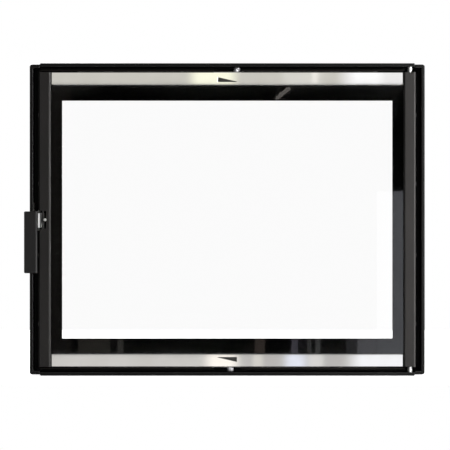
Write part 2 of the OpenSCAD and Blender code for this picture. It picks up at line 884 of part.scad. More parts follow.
module ear(za, zb) {
    w = roller_pin_r + sheet_t;
    difference() {
        union() {
            translate([0, 0, min(za, zb)])
                linear_extrude(height = abs(zb - za))
                    polygon([
                        [handle_right_x - handle_t - w / 2, y_handle_in - eps],
                        [handle_right_x - handle_t - handle_bend, y_handle_in - eps],
                        [handle_right_x - eps, y_handle_in + handle_bend],
                        [handle_right_x, y_handle_in + handle_bend + eps],
                        [roller_x + w, roller_y - w],
                        ear_end(ear_front_angle),
                        [pivot_x, pivot_y],
                        ear_end(ear_back_angle),
                        [roller_x - w, roller_y + sheet_t],
                        [roller_x - w, roller_y - w]
                    ]);
            rod_z(pivot_x, pivot_y, za, zb, ear_r);
        }
        rod_z(pivot_x, pivot_y, min(za, zb) - eps, max(za, zb) + eps, pivot_pin_r + running_clear);
        rod_z(roller_x, roller_y, min(za, zb) - eps, max(za, zb) + eps, roller_pin_r + seat_clear);
        rod_z(pivot_x + leg_dir[0] * coil_r, pivot_y + leg_dir[1] * coil_r, min(za, zb) - eps,
            max(za, zb) + eps, wire_r + running_clear);
    }
}

// The handle's sheet, bent back along its right side
module handle_sheet() {
    bend_x = handle_right_x - handle_t - handle_bend;
    bend_y = y_handle_in + handle_bend;
    span(handle_left_x, bend_x, y_handle, y_handle_in, handle_bottom, handle_top);
    span(handle_right_x - handle_t, handle_right_x, bend_y, y_handle_in + handle_return,
        handle_bottom, handle_top);
    intersection() {
        difference() {
            rod_z(bend_x, bend_y, handle_bottom, handle_top, handle_bend + handle_t);
            rod_z(bend_x, bend_y, handle_bottom - eps, handle_top + eps, handle_bend);
        }
        span(bend_x, handle_right_x + eps, y_handle - eps, bend_y, handle_bottom - eps, handle_top + eps);
    }
}

module handle_plate() {
    color([0.15, 0.15, 0.15]) {
        ear(ear_in_top, ear_out_top);
        ear(ear_out_bottom, ear_in_bottom);
        difference() {
            handle_sheet();
            corner_cut(handle_left_x, handle_bottom, handle_corner_r, -1, -1);
            corner_cut(handle_left_x, handle_top, handle_corner_r, -1, 1);
        }
    }
}

module roller_pin() {
    color([0.8, 0.8, 0.8]) {
        rod_z(roller_x, roller_y, ear_out_bottom, ear_out_top, roller_pin_r);
        rod_z(roller_x, roller_y, ear_out_top, ear_out_top + pin_head_t, pin_head_r);
        rod_z(roller_x, roller_y, ear_out_bottom - pin_head_t, ear_out_bottom, pin_head_r);
    }
}

module latch_spring() {
    color([0.5, 0.5, 0.5]) {
        translate([pivot_x, pivot_y, coil_z])
            rotate_extrude($fn = round_fn) {
                for (n = [0:coil_n - 1])
                    translate([coil_r, wire_r + n * wire_d])
                        circle(r = wire_r, $fn = round_fn);
                translate([coil_r - wire_r / 2, wire_r])
                    square([wire_r, (coil_n - 1) * wire_d]);
            }
        rod_z(pivot_x, pivot_y + coil_r, lug_z + lug_half - leg_sink, coil_z + wire_r, wire_r);
        rod_z(pivot_x + leg_dir[0] * coil_r, pivot_y + leg_dir[1] * coil_r,
            coil_z + coil_n * wire_d - wire_r, ear_out_top, wire_r);
    }
}

module latch_roller() {
    c = roller_edge;
    color([0.85, 0.85, 0.85])
        translate([roller_x, roller_y, roller_bottom])
            rotate_extrude($fn = round_fn)
                polygon([
                    [roller_pin_r + running_clear, 0],
                    [roller_r - c, 0],
                    [roller_r, c],
                    [roller_r, roller_l - c],
                    [roller_r - c, roller_l],
                    [roller_pin_r + running_clear, roller_l]
                ]);
}

// ---------- air slides ----------

module slide_studs(e) {
    for (k = [-1, 1]) {
        rod_z(k * slide_stud_x, slide_stud_y, e * (slide_in - slide_gap), e * leaf_z, slide_stud_r);
        rod_z(k * slide_stud_x, slide_stud_y, e * (slide_in - slide_gap - head_t),
            e * (slide_in - slide_gap), slide_stud_head);
    }
}

module top_slide_studs() {
    color([0.4, 0.4, 0.4]) slide_studs(1);
}

module bottom_slide_studs() {
    color([0.4, 0.4, 0.4]) slide_studs(-1);
}

// The slots meet the flange's slots when the slide stands at open_at
module air_slide(e, knob_x, range, open_at) {
    za = min(e * (slide_in - eps), e * (slide_out + eps));
    zb = max(e * (slide_in - eps), e * (slide_out + eps));
    difference() {
        span(-slide_half, slide_half, slide_y_out, slide_y_in, e * slide_in, e * slide_out);
        for (k = [-1, 1]) {
            for (n = slot_ns)
                slot_x(k * n * slot_pitch - slot_l / 2 - open_at, k * n * slot_pitch + slot_l / 2 - open_at,
                    slot_y, za, zb, slot_w / 2);
            slot_x(k * slide_stud_x - range[1] - slide_stud_r - slide_gap,
                k * slide_stud_x - range[0] + slide_stud_r + slide_gap,
                slide_stud_y, za, zb, slide_stud_r + running_clear);
        }
        rod_z(knob_x, knob_y, za, zb, knob_screw_r + seat_clear);
    }
}

// A point on the knob's rounded rim
function knob_edge(angle) =
    [knob_r - knob_dome * (1 - cos(angle)), knob_h - knob_dome * (1 - sin(angle))];

module slide_knob(e, knob_x) {
    translate([knob_x, knob_y, e * slide_out])
        rotate([e > 0 ? 0 : 180, 0, 0])
            rotate_extrude($fn = round_fn)
                polygon(concat(
                    [[knob_screw_r + seat_clear, 0], [knob_r, 0]],
                    [for (a = [0:knob_step:90]) knob_edge(a)],
                    [[0, knob_h], [0, knob_screw_l], [knob_screw_r + seat_clear, knob_screw_l]]
                ));
}

module knob_screw(e, knob_x) {
    difference() {
        union() {
            rod_z(knob_x, knob_y, e * slide_in, e * (slide_out + knob_screw_l - seam), knob_screw_r);
            rod_z(knob_x, knob_y, e * (slide_in - head_t), e * slide_in, knob_screw_head);
        }
        span(knob_x - past, knob_x + past, knob_y - slot_cut_w / 2, knob_y + slot_cut_w / 2,
            e * (slide_in - head_t - eps), e * (slide_in - head_t + slot_cut_depth));
    }
}

module top_air_slide() {
    color([0.3, 0.3, 0.31]) air_slide(1, knob_top_x, top_range, top_range[0]);
}

module top_slide_knob() {
    color([0.85, 0.85, 0.85]) slide_knob(1, knob_top_x);
}

module top_knob_screw() {
    color([0.6, 0.6, 0.6]) knob_screw(1, knob_top_x);
}

module bottom_air_slide() {
    color([0.3, 0.3, 0.31]) air_slide(-1, knob_bottom_x, bottom_range, bottom_range[1]);
}

module bottom_slide_knob() {
    color([0.85, 0.85, 0.85]) slide_knob(-1, knob_bottom_x);
}

module bottom_knob_screw() {
    color([0.6, 0.6, 0.6]) knob_screw(-1, knob_bottom_x);
}

frame_left_stile();
frame_right_stile();
frame_top_rail();
frame_bottom_rail();
strike_plate();
strike_nose();
strike_screws();
door_rope_seal();
hinge_pin_top();
hinge_pin_bottom();
leaf_left_stile();
leaf_right_stile();
leaf_top_rail();
leaf_bottom_rail();
hinge_blocks();
hinge_bush_top();
hinge_bush_bottom();
hinge_thrust_disc();
glass_pane();
glass_printed_border();
glass_seal_tape();
left_glass_profile();
right_glass_profile();
profile_screws();
top_trim();
bottom_trim();
air_wedge_marks();
trim_studs();
trim_nuts();
latch_bracket();
latch_screw();
latch_pivot_pin();
handle_plate();
roller_pin();
latch_spring();
latch_roller();
top_slide_studs();
bottom_slide_studs();
top_air_slide();
top_slide_knob();
top_knob_screw();
bottom_air_slide();
bottom_slide_knob();
bottom_knob_screw();
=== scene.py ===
"""Fireplace glass door: looks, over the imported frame.

X runs to the right, Y away from the viewer and Z up. The origin is the middle of the outer
frame's rear face. Blender's own lengths are metres. The sub-assemblies' sizes are millimetres.
"""

import logging
import math
from dataclasses import dataclass, field
from enum import Enum
from typing import Sequence

import bmesh
import bpy
from mathutils import Matrix, Quaternion, Vector
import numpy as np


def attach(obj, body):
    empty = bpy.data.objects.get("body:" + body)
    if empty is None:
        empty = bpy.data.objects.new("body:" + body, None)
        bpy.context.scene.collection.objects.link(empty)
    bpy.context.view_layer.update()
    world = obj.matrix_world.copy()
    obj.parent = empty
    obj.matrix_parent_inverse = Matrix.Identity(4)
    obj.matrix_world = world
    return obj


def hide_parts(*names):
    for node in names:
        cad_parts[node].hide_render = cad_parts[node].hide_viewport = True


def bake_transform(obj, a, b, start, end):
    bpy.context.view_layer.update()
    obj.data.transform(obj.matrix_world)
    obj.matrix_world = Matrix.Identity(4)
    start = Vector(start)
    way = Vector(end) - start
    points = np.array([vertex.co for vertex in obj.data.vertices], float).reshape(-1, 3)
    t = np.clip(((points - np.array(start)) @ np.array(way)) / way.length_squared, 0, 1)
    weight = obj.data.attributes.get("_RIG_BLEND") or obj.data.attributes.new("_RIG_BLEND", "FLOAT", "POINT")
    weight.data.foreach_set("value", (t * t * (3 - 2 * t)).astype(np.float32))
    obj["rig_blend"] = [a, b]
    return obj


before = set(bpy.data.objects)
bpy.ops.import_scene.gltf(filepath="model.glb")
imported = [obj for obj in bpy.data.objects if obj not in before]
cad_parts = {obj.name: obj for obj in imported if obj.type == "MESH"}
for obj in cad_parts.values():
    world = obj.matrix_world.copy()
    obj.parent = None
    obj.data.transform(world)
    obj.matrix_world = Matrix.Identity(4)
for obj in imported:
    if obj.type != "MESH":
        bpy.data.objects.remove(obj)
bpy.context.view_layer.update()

LOG = logging.getLogger("glass_door")
MM = 0.001
WHOLE_TURN = 2 * math.pi
# Points nearer than this are one, in metres.
WELD = 2e-6
# Faces that meet at less than the first are one face. An edge past the second is rounded, and
# one past the third is drawn sharp.
FLAT_ANGLE = math.radians(0.4)
EDGE_ANGLE = math.radians(32)
CRISP_ANGLE = math.radians(38)
# Beyond the whole part on every side, and the slack of a rounding's zone, in millimetres.
REACH = 400.0
NEAR = 0.1
# Sides of the small round parts, and rings of points in one turn of a thread.
SHANK_SIDES = 14
BORE_SIDES = 24
HEAD_SIDES = 32
NUT_SIDES = 36
TURN_RINGS = 6
WHITE = (1.0, 1.0, 1.0)
Colour = tuple[float, float, float]
Place = tuple[float, float, float]
Pair = tuple[float, float]
Socket = bpy.types.NodeSocket
Material = bpy.types.Material
Mesh = bpy.types.Mesh
Piece = bpy.types.Object


class Axis(Enum):
    """A direction that a turned or threaded piece points in."""

    LEFT = (-1.0, 0.0, 0.0)
    RIGHT = (1.0, 0.0, 0.0)
    FRONT = (0.0, -1.0, 0.0)
    BACK = (0.0, 1.0, 0.0)
    UP = (0.0, 0.0, 1.0)
    DOWN = (0.0, 0.0, -1.0)

    def turn(self) -> Matrix:
        """The rotation that takes +Z to this direction."""
        return Vector(self.value).to_track_quat("Z", "Y").to_matrix().to_4x4()


class Drawn(Enum):
    """Which way the marks of a brush, a lathe or a roller run on a metal."""

    ALONG_X = (6.0, 900.0, 900.0)
    ALONG_Z = (900.0, 900.0, 6.0)
    AROUND_Z = (60.0, 60.0, 1400.0)
    EVEN = (700.0, 700.0, 700.0)


# ---------- node trees ----------


class Tree:
    """Adds nodes to a shader or geometry tree and joins them."""

    def __init__(self, tree: bpy.types.NodeTree) -> None:
        """Keeps the tree that the nodes go into."""
        self.tree = tree

    def add(self, kind: str, values: dict | None = None, **settings: object) -> bpy.types.Node:
        """Adds one node.

        Args:
            kind: The node's type name.
            values: Input name or number, and a socket to link or a plain value.
            settings: Properties of the node itself.

        Returns:
            The new node.
        """
        node = self.tree.nodes.new(kind)
        for key, value in settings.items():
            setattr(node, key, value)
        for key, value in (values or {}).items():
            if isinstance(value, Socket):
                self.tree.links.new(value, node.inputs[key])
            else:
                node.inputs[key].default_value = value
        return node

    def out(self, kind: str, values: dict | None = None, **settings: object) -> Socket:
        """Adds one node, as add does, and gives its first output."""
        return self.add(kind, values, **settings).outputs[0]

    def sum(self, kind: str, *values: object) -> Socket:
        """A number worked out from others, plain or as sockets; the kind is a sum such as ADD."""
        return self.out("ShaderNodeMath", dict(enumerate(values)), operation=kind)

    def times(self, *values: object) -> Socket:
        """Two numbers multiplied, each plain or as a socket."""
        return self.sum("MULTIPLY", *values)

    def vector_sum(self, kind: str, *values: object) -> Socket:
        """A vector worked out from others, plain or as sockets; the kind is a sum such as ADD."""
        return self.out("ShaderNodeVectorMath", dict(enumerate(values)), operation=kind)

    def scaled(self, vector: object, by: object) -> Socket:
        """A vector times a number, each plain or as a socket."""
        return self.out("ShaderNodeVectorMath", {"Vector": vector, "Scale": by}, operation="SCALE")

    def xyz(self, x: object = 0.0, y: object = 0.0, z: object = 0.0) -> Socket:
        """A vector from three numbers, each plain or as a socket."""
        return self.out("ShaderNodeCombineXYZ", {0: x, 1: y, 2: z})

    def split(self, vector: Socket) -> bpy.types.NodeOutputs:
        """The three numbers of a vector."""
        return self.add("ShaderNodeSeparateXYZ", {0: vector}).outputs


class Surface(Tree):
    """A material whose marks are drawn in the object's own coordinates."""

    def __init__(self, name: str) -> None:
        """Starts an empty material.

        Args:
            name: The material's name.
        """
        self.material = bpy.data.materials.new(name)
        self.material.use_nodes = True
        super().__init__(self.material.node_tree)
        self.tree.nodes.clear()
        self.place = self.add("ShaderNodeTexCoord").outputs["Object"]

    def noise(
        self, scale: float, detail: float = 3.0, stretch: Place = (1.0, 1.0, 1.0), seed: float = 0.0
    ) -> Socket:
        """Soft noise from 0 to 1.

        Args:
            scale: Marks in a metre.
            detail: How many finer layers lie over it.
            stretch: How much closer the marks lie along each axis.
            seed: Moves the marks to another part of the noise.

        Returns:
            The noise's value.
        """
        moved = {"Vector": self.place, "Scale": stretch, "Location": (seed, seed, seed)}
        place = self.out("ShaderNodeMapping", moved)
        return self.out("ShaderNodeTexNoise", {"Vector": place, "Scale": scale, "Detail": detail})

    def spread(
        self, value: Socket, low: float, high: float, start: float = 0.3, end: float = 0.7
    ) -> Socket:
        """A value fitted to another range: start becomes low, and end becomes high."""
        values = {"Value": value, "From Min": start, "From Max": end, "To Min": low, "To Max": high}
        return self.out("ShaderNodeMapRange", values)

    def blend(self, share: object, first: object, second: object) -> Socket:
        """Mixes two colours.

        Args:
            share: The second colour's share, from 0 to 1.
            first: The first colour, plain or as a socket.
            second: The second colour, plain or as a socket.

        Returns:
            The mixed colour.
        """
        both = [c if isinstance(c, Socket) else (*c, 1.0) for c in (first, second)]
        mix = self.add("ShaderNodeMix", {0: share, 6: both[0], 7: both[1]}, data_type="RGBA")
        return mix.outputs[2]

    def relief(self, height: Socket, depth_mm: float, under: Socket | None = None) -> Socket:
        """A normal bent by a height from 0 to 1 that is so deep, over a coarser relief's normal."""
        values = {"Height": height, "Distance": depth_mm * MM, "Strength": 1.0}
        return self.out("ShaderNodeBump", values | ({} if under is None else {"Normal": under}))

    def close(self, values: dict) -> Material:
        """Ends the tree in one shader.

        Args:
            values: The shader's inputs.

        Returns:
            The material.
        """
        shader = self.out("ShaderNodeBsdfPrincipled", values)
        self.add("ShaderNodeOutputMaterial", {"Surface": shader})
        return self.material


# ---------- finishes ----------

MADE: dict["Finish", Material] = {}


@dataclass(frozen=True)
class Finish:
    """A finish of the record, with one material that every piece shares."""

    slot: str

    def material(self) -> Material:
        """The finish's material, made at its first use."""
        return MADE.get(self) or MADE.setdefault(self, self.build())

    def build(self) -> Material:
        """Makes the material, which each kind of finish does in its own way."""
        raise NotImplementedError(self.slot)


@dataclass(frozen=True)
class Paint(Finish):
    """Heat-proof paint sprayed on steel: a fine tooth, thin spots and a little ash dust."""

    colour: Colour = (0.018, 0.018, 0.018)
    dust: Colour = (0.045, 0.042, 0.038)
    roughness: float = 0.5
    ior: float = 1.48
    tooth_mm: float = 0.05

    def build(self) -> Material:
        """Makes the material.

        Returns:
            The material.
        """
        s = Surface(self.slot)
        tooth = s.noise(1300, 2.0)
        peel = s.noise(330, 1.0, seed=3.0)
        ash = s.noise(9, 5.0, seed=7.0)
        fleck = s.noise(2600, 1.0, seed=11.0)
        tone = s.blend(s.spread(ash, 0.0, 0.5, 0.42, 0.72), self.colour, self.dust)
        tone = s.blend(s.spread(fleck, 0.0, 0.3, 0.6, 0.72), tone, self.dust)
        normal = s.relief(peel, self.tooth_mm * 0.6)
        normal = s.relief(tooth, self.tooth_mm * 0.4, normal)
        gloss = s.spread(ash, self.roughness - 0.05, self.roughness + 0.09)
        return s.close({"Base Color": tone, "Roughness": gloss, "Normal": normal, "IOR": self.ior})


@dataclass(frozen=True)
class Metal(Finish):
    """Bare or plated metal with the marks of the tool that finished it."""

    colour: Colour = (0.6, 0.6, 0.59)
    stain: Colour = (0.5, 0.49, 0.47)
    roughness: float = 0.3
    swing: float = 0.08
    marks: Drawn = Drawn.EVEN
    mark_mm: float = 0.01

    def build(self) -> Material:
        """Makes the material.

        Returns:
            The material.
        """
        s = Surface(self.slot)
        lines = s.noise(1.0, 2.0, self.marks.value)
        broad = s.noise(0.22, 3.0, self.marks.value, seed=5.0)
        cloud = s.noise(26, 4.0, seed=9.0)
        tone = s.blend(s.spread(cloud, 0.0, 0.8), self.colour, self.stain)
        tone = s.blend(s.spread(broad, 0.0, 0.35), tone, self.stain)
        gloss = s.spread(lines, self.roughness - self.swing, self.roughness + self.swing)
        normal = s.relief(lines, self.mark_mm)
        return s.close({"Base Color": tone, "Metallic": 1.0, "Roughness": gloss, "Normal": normal})


@dataclass(frozen=True)
class ClearGlass(Finish):
    """Heat-proof ceramic glass, wiped clean but for a faint smear."""

    def build(self) -> Material:
        """Makes the material.

        Returns:
            The material.
        """
        s = Surface(self.slot)
        smear = s.noise(5, 4.0, (1.0, 1.0, 0.3))
        values = {"Base Color": (1.0, 1.0, 1.0, 1.0), "Transmission Weight": 1.0, "IOR": 1.33}
        values["Roughness"] = s.spread(smear, 0.0, 0.008, 0.5, 0.8)
        return s.close(values)


@dataclass(frozen=True)
class Enamel(Finish):
    """Black ceramic print, or a filled mark: glossy, with a few pinholes."""

    colour: Colour = (0.006, 0.006, 0.005)
    roughness: float = 0.08

    def build(self) -> Material:
        """Makes the material.

        Returns:
            The material.
        """
        s = Surface(self.slot)
        cloud = s.noise(18, 3.0)
        pin = s.noise(1900, 1.0, seed=4.0)
        lighter = tuple(c * 2.2 for c in self.colour)
        tone = s.blend(s.spread(cloud, 0.0, 0.6), self.colour, lighter)
        tone = s.blend(s.spread(pin, 0.0, 0.5, 0.7, 0.76), tone, (0.03, 0.03, 0.03))
        normal = s.relief(s.noise(240, 2.0, seed=8.0), 0.002)
        gloss = s.spread(cloud, self.roughness, self.roughness + 0.02)
        return s.close({"Base Color": tone, "Roughness": gloss, "Normal": normal, "IOR": 1.5})


@dataclass(frozen=True)
class GlassFibre(Finish):
    """Twisted or woven glass fibre, for the rope and the tape."""

    colour: Colour = (0.30, 0.29, 0.27)
    soot: Colour = (0.10, 0.095, 0.09)
    fibre: float = 2400.0

    def build(self) -> Material:
        """Makes the material.

        Returns:
            The material.
        """
        s = Surface(self.slot)
        fibre = s.noise(self.fibre, 3.0, (1.0, 0.35, 1.0))
        smoke = s.noise(22, 4.0, seed=6.0)
        tone = s.blend(s.spread(smoke, 0.0, 0.85), self.colour, self.soot)
        tone = s.blend(s.spread(fibre, 0.0, 0.4), tone, self.soot)
        normal = s.relief(fibre, 0.12)
        values = {"Base Color": tone, "Roughness": s.spread(fibre, 0.8, 0.95), "Normal": normal}
        return s.close(values | {"Sheen Weight": 0.2})


FRAME_PAINT = Paint(
    "frame_paint", (0.0015, 0.0015, 0.0015), (0.006, 0.0057, 0.0054), roughness=0.46, ior=1.22
)
# A lighter, glossier copy of the frame paint for the rounded edges: a painted highlight, the light lines
# along the lips.
FRAME_EDGE_HIGHLIGHT = Paint(
    "frame_paint", (0.0072, 0.007, 0.007), (0.014, 0.014, 0.0135), roughness=0.38, ior=1.27
)
LEAF_PAINT = Paint(
    "leaf_paint", (0.003, 0.0025, 0.002), (0.008, 0.007, 0.006), roughness=0.52, ior=1.18
)
PROFILE_PAINT = Paint(
    "profile_paint", (0.0126, 0.0113, 0.0107), (0.02, 0.018, 0.017), roughness=0.55, ior=1.31
)
# A lighter, glossier copy of the profile paint for the bevels and rounded edges: a painted highlight.
PROFILE_EDGE_HIGHLIGHT = Paint(
    "profile_paint", (0.025, 0.024, 0.0228), (0.036, 0.034, 0.033), roughness=0.38, ior=1.38
)
HANDLE_PAINT = Paint(
    "handle_paint", (0.009, 0.0084, 0.0084), (0.0138, 0.0131, 0.0131), roughness=0.5, ior=1.33
)
TRIM_STEEL = Metal(
    "polished_steel", (0.74, 0.735, 0.72), (0.68, 0.67, 0.645),
    roughness=0.024, swing=0.006, marks=Drawn.ALONG_X, mark_mm=0.0003,
)
PIN_STEEL = Metal(
    "bright_steel", (0.74, 0.74, 0.73), (0.6, 0.6, 0.58),
    roughness=0.42, swing=0.06, marks=Drawn.AROUND_Z, mark_mm=0.006,
)
CHROME = Metal(
    "chrome", (0.49, 0.485, 0.5), (0.42, 0.415, 0.43),
    roughness=0.58, swing=0.04, marks=Drawn.AROUND_Z, mark_mm=0.003,
)
PLAIN_STEEL = Metal(
    "plain_steel", (0.42, 0.415, 0.4), (0.3, 0.285, 0.26),
    roughness=0.38, swing=0.08, marks=Drawn.ALONG_Z, mark_mm=0.012,
)
GREY_STEEL = Metal(
    "grey_steel", (0.3, 0.3, 0.3), (0.22, 0.215, 0.21),
    roughness=0.42, swing=0.08, marks=Drawn.AROUND_Z, mark_mm=0.012,
)
SPRING_STEEL = Metal(
    "spring_steel", (0.46, 0.46, 0.46), (0.34, 0.32, 0.29),
    roughness=0.32, swing=0.06, marks=Drawn.EVEN, mark_mm=0.006,
)
ROLLER_STEEL = Metal(
    "bright_steel", (0.95, 0.95, 0.94), (0.9, 0.9, 0.88),
    roughness=0.33, swing=0.03, marks=Drawn.AROUND_Z, mark_mm=0.004,
)
STRIKE_STEEL = Metal(
    "plain_steel", (0.05, 0.049, 0.047), (0.035, 0.033, 0.03),
    roughness=0.45, swing=0.08, marks=Drawn.ALONG_Z, mark_mm=0.012,
)
BLACK_SCREW = Metal(
    "black_screw", (0.085, 0.085, 0.088), (0.055, 0.052, 0.05),
    roughness=0.42, swing=0.08, marks=Drawn.EVEN, mark_mm=0.01,
)
BRONZE = Metal(
    "bronze", (0.55, 0.36, 0.17), (0.36, 0.22, 0.11),
    roughness=0.36, swing=0.08, marks=Drawn.AROUND_Z, mark_mm=0.012,
)
CLEAR_GLASS = ClearGlass("clear_glass")
PRINTED_ENAMEL = Enamel("printed_enamel", (0.0016, 0.0016, 0.0014), roughness=0.018)
MARK_ENAMEL = Enamel("mark_enamel", (0.010, 0.0095, 0.007), roughness=0.36)
ROPE_FIBRE = GlassFibre("rope")
TAPE_FIBRE = GlassFibre("tape", (0.42, 0.41, 0.38), (0.25, 0.24, 0.22), fibre=3200.0)


# ---------- making of pieces ----------


@dataclass(frozen=True)
class Rounding:
    """How far the edges of a copied part are rounded, in millimetres.

    Each zone is a lowest corner, a highest corner and the rounding of the edges inside that box.
    A flat part has every face shaded flat, so that panes and polished strips reflect evenly.
    """

    edge: float = 0.3
    segments: int = 2
    zones: tuple[tuple[Place, Place, float], ...] = ()
    flat: bool = False

    def at(self, middle: Vector) -> float:
        """The rounding of one edge.

        Args:
            middle: The edge's middle, in metres.

        Returns:
            The rounding, in metres.
        """
        for low, high, width in self.zones:
            if all(a <= c / MM <= b for a, c, b in zip(low, middle, high)):
                return width * MM
        return self.edge * MM


def plain_mesh(piece: Piece, name: str) -> Mesh:
    """Turns an object with modifiers into a plain mesh and removes the object.

    Args:
        piece: The object.
        name: The new mesh's name.

    Returns:
        The mesh.
    """
    graph = bpy.context.evaluated_depsgraph_get()
    final = piece.evaluated_get(graph)
    mesh = bpy.data.meshes.new_from_object(final, preserve_all_data_layers=True, depsgraph=graph)
    mesh.name = name
    piece.modifiers.clear()
    bpy.data.objects.remove(piece)
    return mesh


def carrier(mesh: Mesh) -> Piece:
    """Puts a mesh on an object that a modifier can work on.

    Args:
        mesh: The mesh.

    Returns:
        The object.
    """
    piece = bpy.data.objects.new("carrier", mesh)
    bpy.context.scene.collection.objects.link(piece)
    return piece


def rounded_copy(node: str, rounding: Rounding) -> Mesh:
    """Copies a CAD node and rounds its edges.

    Args:
        node: The node's name.
        rounding: How far each edge is rounded.

    Returns:
        The mesh, with the rounded edges in material slot 1.
    """
    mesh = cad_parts[node].data.copy()
    mesh.materials.clear()
    shape = bmesh.new()
    shape.from_mesh(mesh)
    bmesh.ops.remove_doubles(shape, verts=shape.verts, dist=WELD)
    bmesh.ops.dissolve_limit(
        shape, angle_limit=FLAT_ANGLE, verts=shape.verts, edges=shape.edges
    )
    layers = shape.edges.layers.float
    weight = layers.get("bevel_weight_edge") or layers.new("bevel_weight_edge")
    widest = max([rounding.edge * MM] + [zone[2] * MM for zone in rounding.zones])
    for face in shape.faces:
        face.smooth = True
        face.material_index = 0
    for edge in shape.edges:
        if len(edge.link_faces) == 2 and edge.calc_face_angle() > EDGE_ANGLE:
            edge[weight] = rounding.at((edge.verts[0].co + edge.verts[1].co) / 2) / widest
    shape.to_mesh(mesh)
    shape.free()
    piece = carrier(mesh)
    for _ in range(2):
        mesh.materials.append(None)
    bevel = piece.modifiers.new("rounding", "BEVEL")
    bevel.limit_method = "WEIGHT"
    bevel.width = widest
    bevel.segments = rounding.segments
    bevel.use_clamp_overlap = False
    bevel.material = 1
    if rounding.flat:
        plain = plain_mesh(piece, node)
        plain.shade_flat()
        return plain
    piece.modifiers.new("shading", "WEIGHTED_NORMAL").weight = 100
    return plain_mesh(piece, node)


def both_ends(foot: tuple[Pair, ...], length: float) -> tuple[Pair, ...]:
    """Ends a turned part's outline as it starts.

    Args:
        foot: The outline of one end, as radius and height.
        length: The part's length.

    Returns:
        The whole outline.
    """
    return foot + tuple((radius, length - height) for radius, height in reversed(foot))


@dataclass(frozen=True)
class Turned:
    """A turned part: the outline goes round the axis, as radius and height in millimetres."""

    outline: tuple[Pair, ...]
    place_mm: Place
    axis: Axis
    bored: bool = False
    steps: int = 48
    flutes: int = 0
    flute_mm: float = 0.0
    fluted: Pair = (0.0, 0.0)

    def radius(self, radius: float, height: float, angle: float) -> float:
        """The radius at one point, with the grip's flutes taken off.

        Args:
            radius: The outline's radius.
            height: The height above the foot.
            angle: The angle round the axis.

        Returns:
            The radius, in millimetres.
        """
        if self.flutes and self.fluted[0] <= height <= self.fluted[1]:
            return radius - self.flute_mm * (0.5 + 0.5 * math.cos(self.flutes * angle))
        return radius

    def mesh(self, name: str) -> Mesh:
        """Builds the part.

        Args:
            name: The mesh's name.

        Returns:
            The closed mesh, in its place.
        """
        shape = bmesh.new()
        rings = []
        for radius, height in self.outline:
            count = self.steps if radius > 0 else 1
            ring = []
            for n in range(count):
                angle = WHOLE_TURN * n / count
                reach = self.radius(radius, height, angle) if radius > 0 else 0.0
                place = (reach * math.cos(angle), reach * math.sin(angle), height)
                ring.append(shape.verts.new(place))
            rings.append(ring)
        pairs = list(zip(rings, rings[1:])) + ([(rings[-1], rings[0])] if self.bored else [])
        for low, high in pairs:
            for n in range(self.steps if len(low) + len(high) > 2 else 0):
                m = (n + 1) % self.steps
                corners = [low[n % len(low)], low[m % len(low)]]
                corners += [high[m % len(high)], high[n % len(high)]]
                shape.faces.new(list(dict.fromkeys(corners)))
        bmesh.ops.recalc_face_normals(shape, faces=shape.faces)
        foot = Matrix.Translation(Vector(self.place_mm) * MM)
        shape.transform(foot @ self.axis.turn() @ Matrix.Scale(MM, 4))
        mesh = bpy.data.meshes.new(name)
        shape.to_mesh(mesh)
        shape.free()
        return crisp(mesh)


def crisp(mesh: Mesh) -> Mesh:
    """Gives a mesh smooth faces and crisp corners.

    Args:
        mesh: The mesh.

    Returns:
        The same mesh.
    """
    mesh.shade_smooth()
    mesh.set_sharp_from_angle(angle=CRISP_ANGLE)
    return mesh


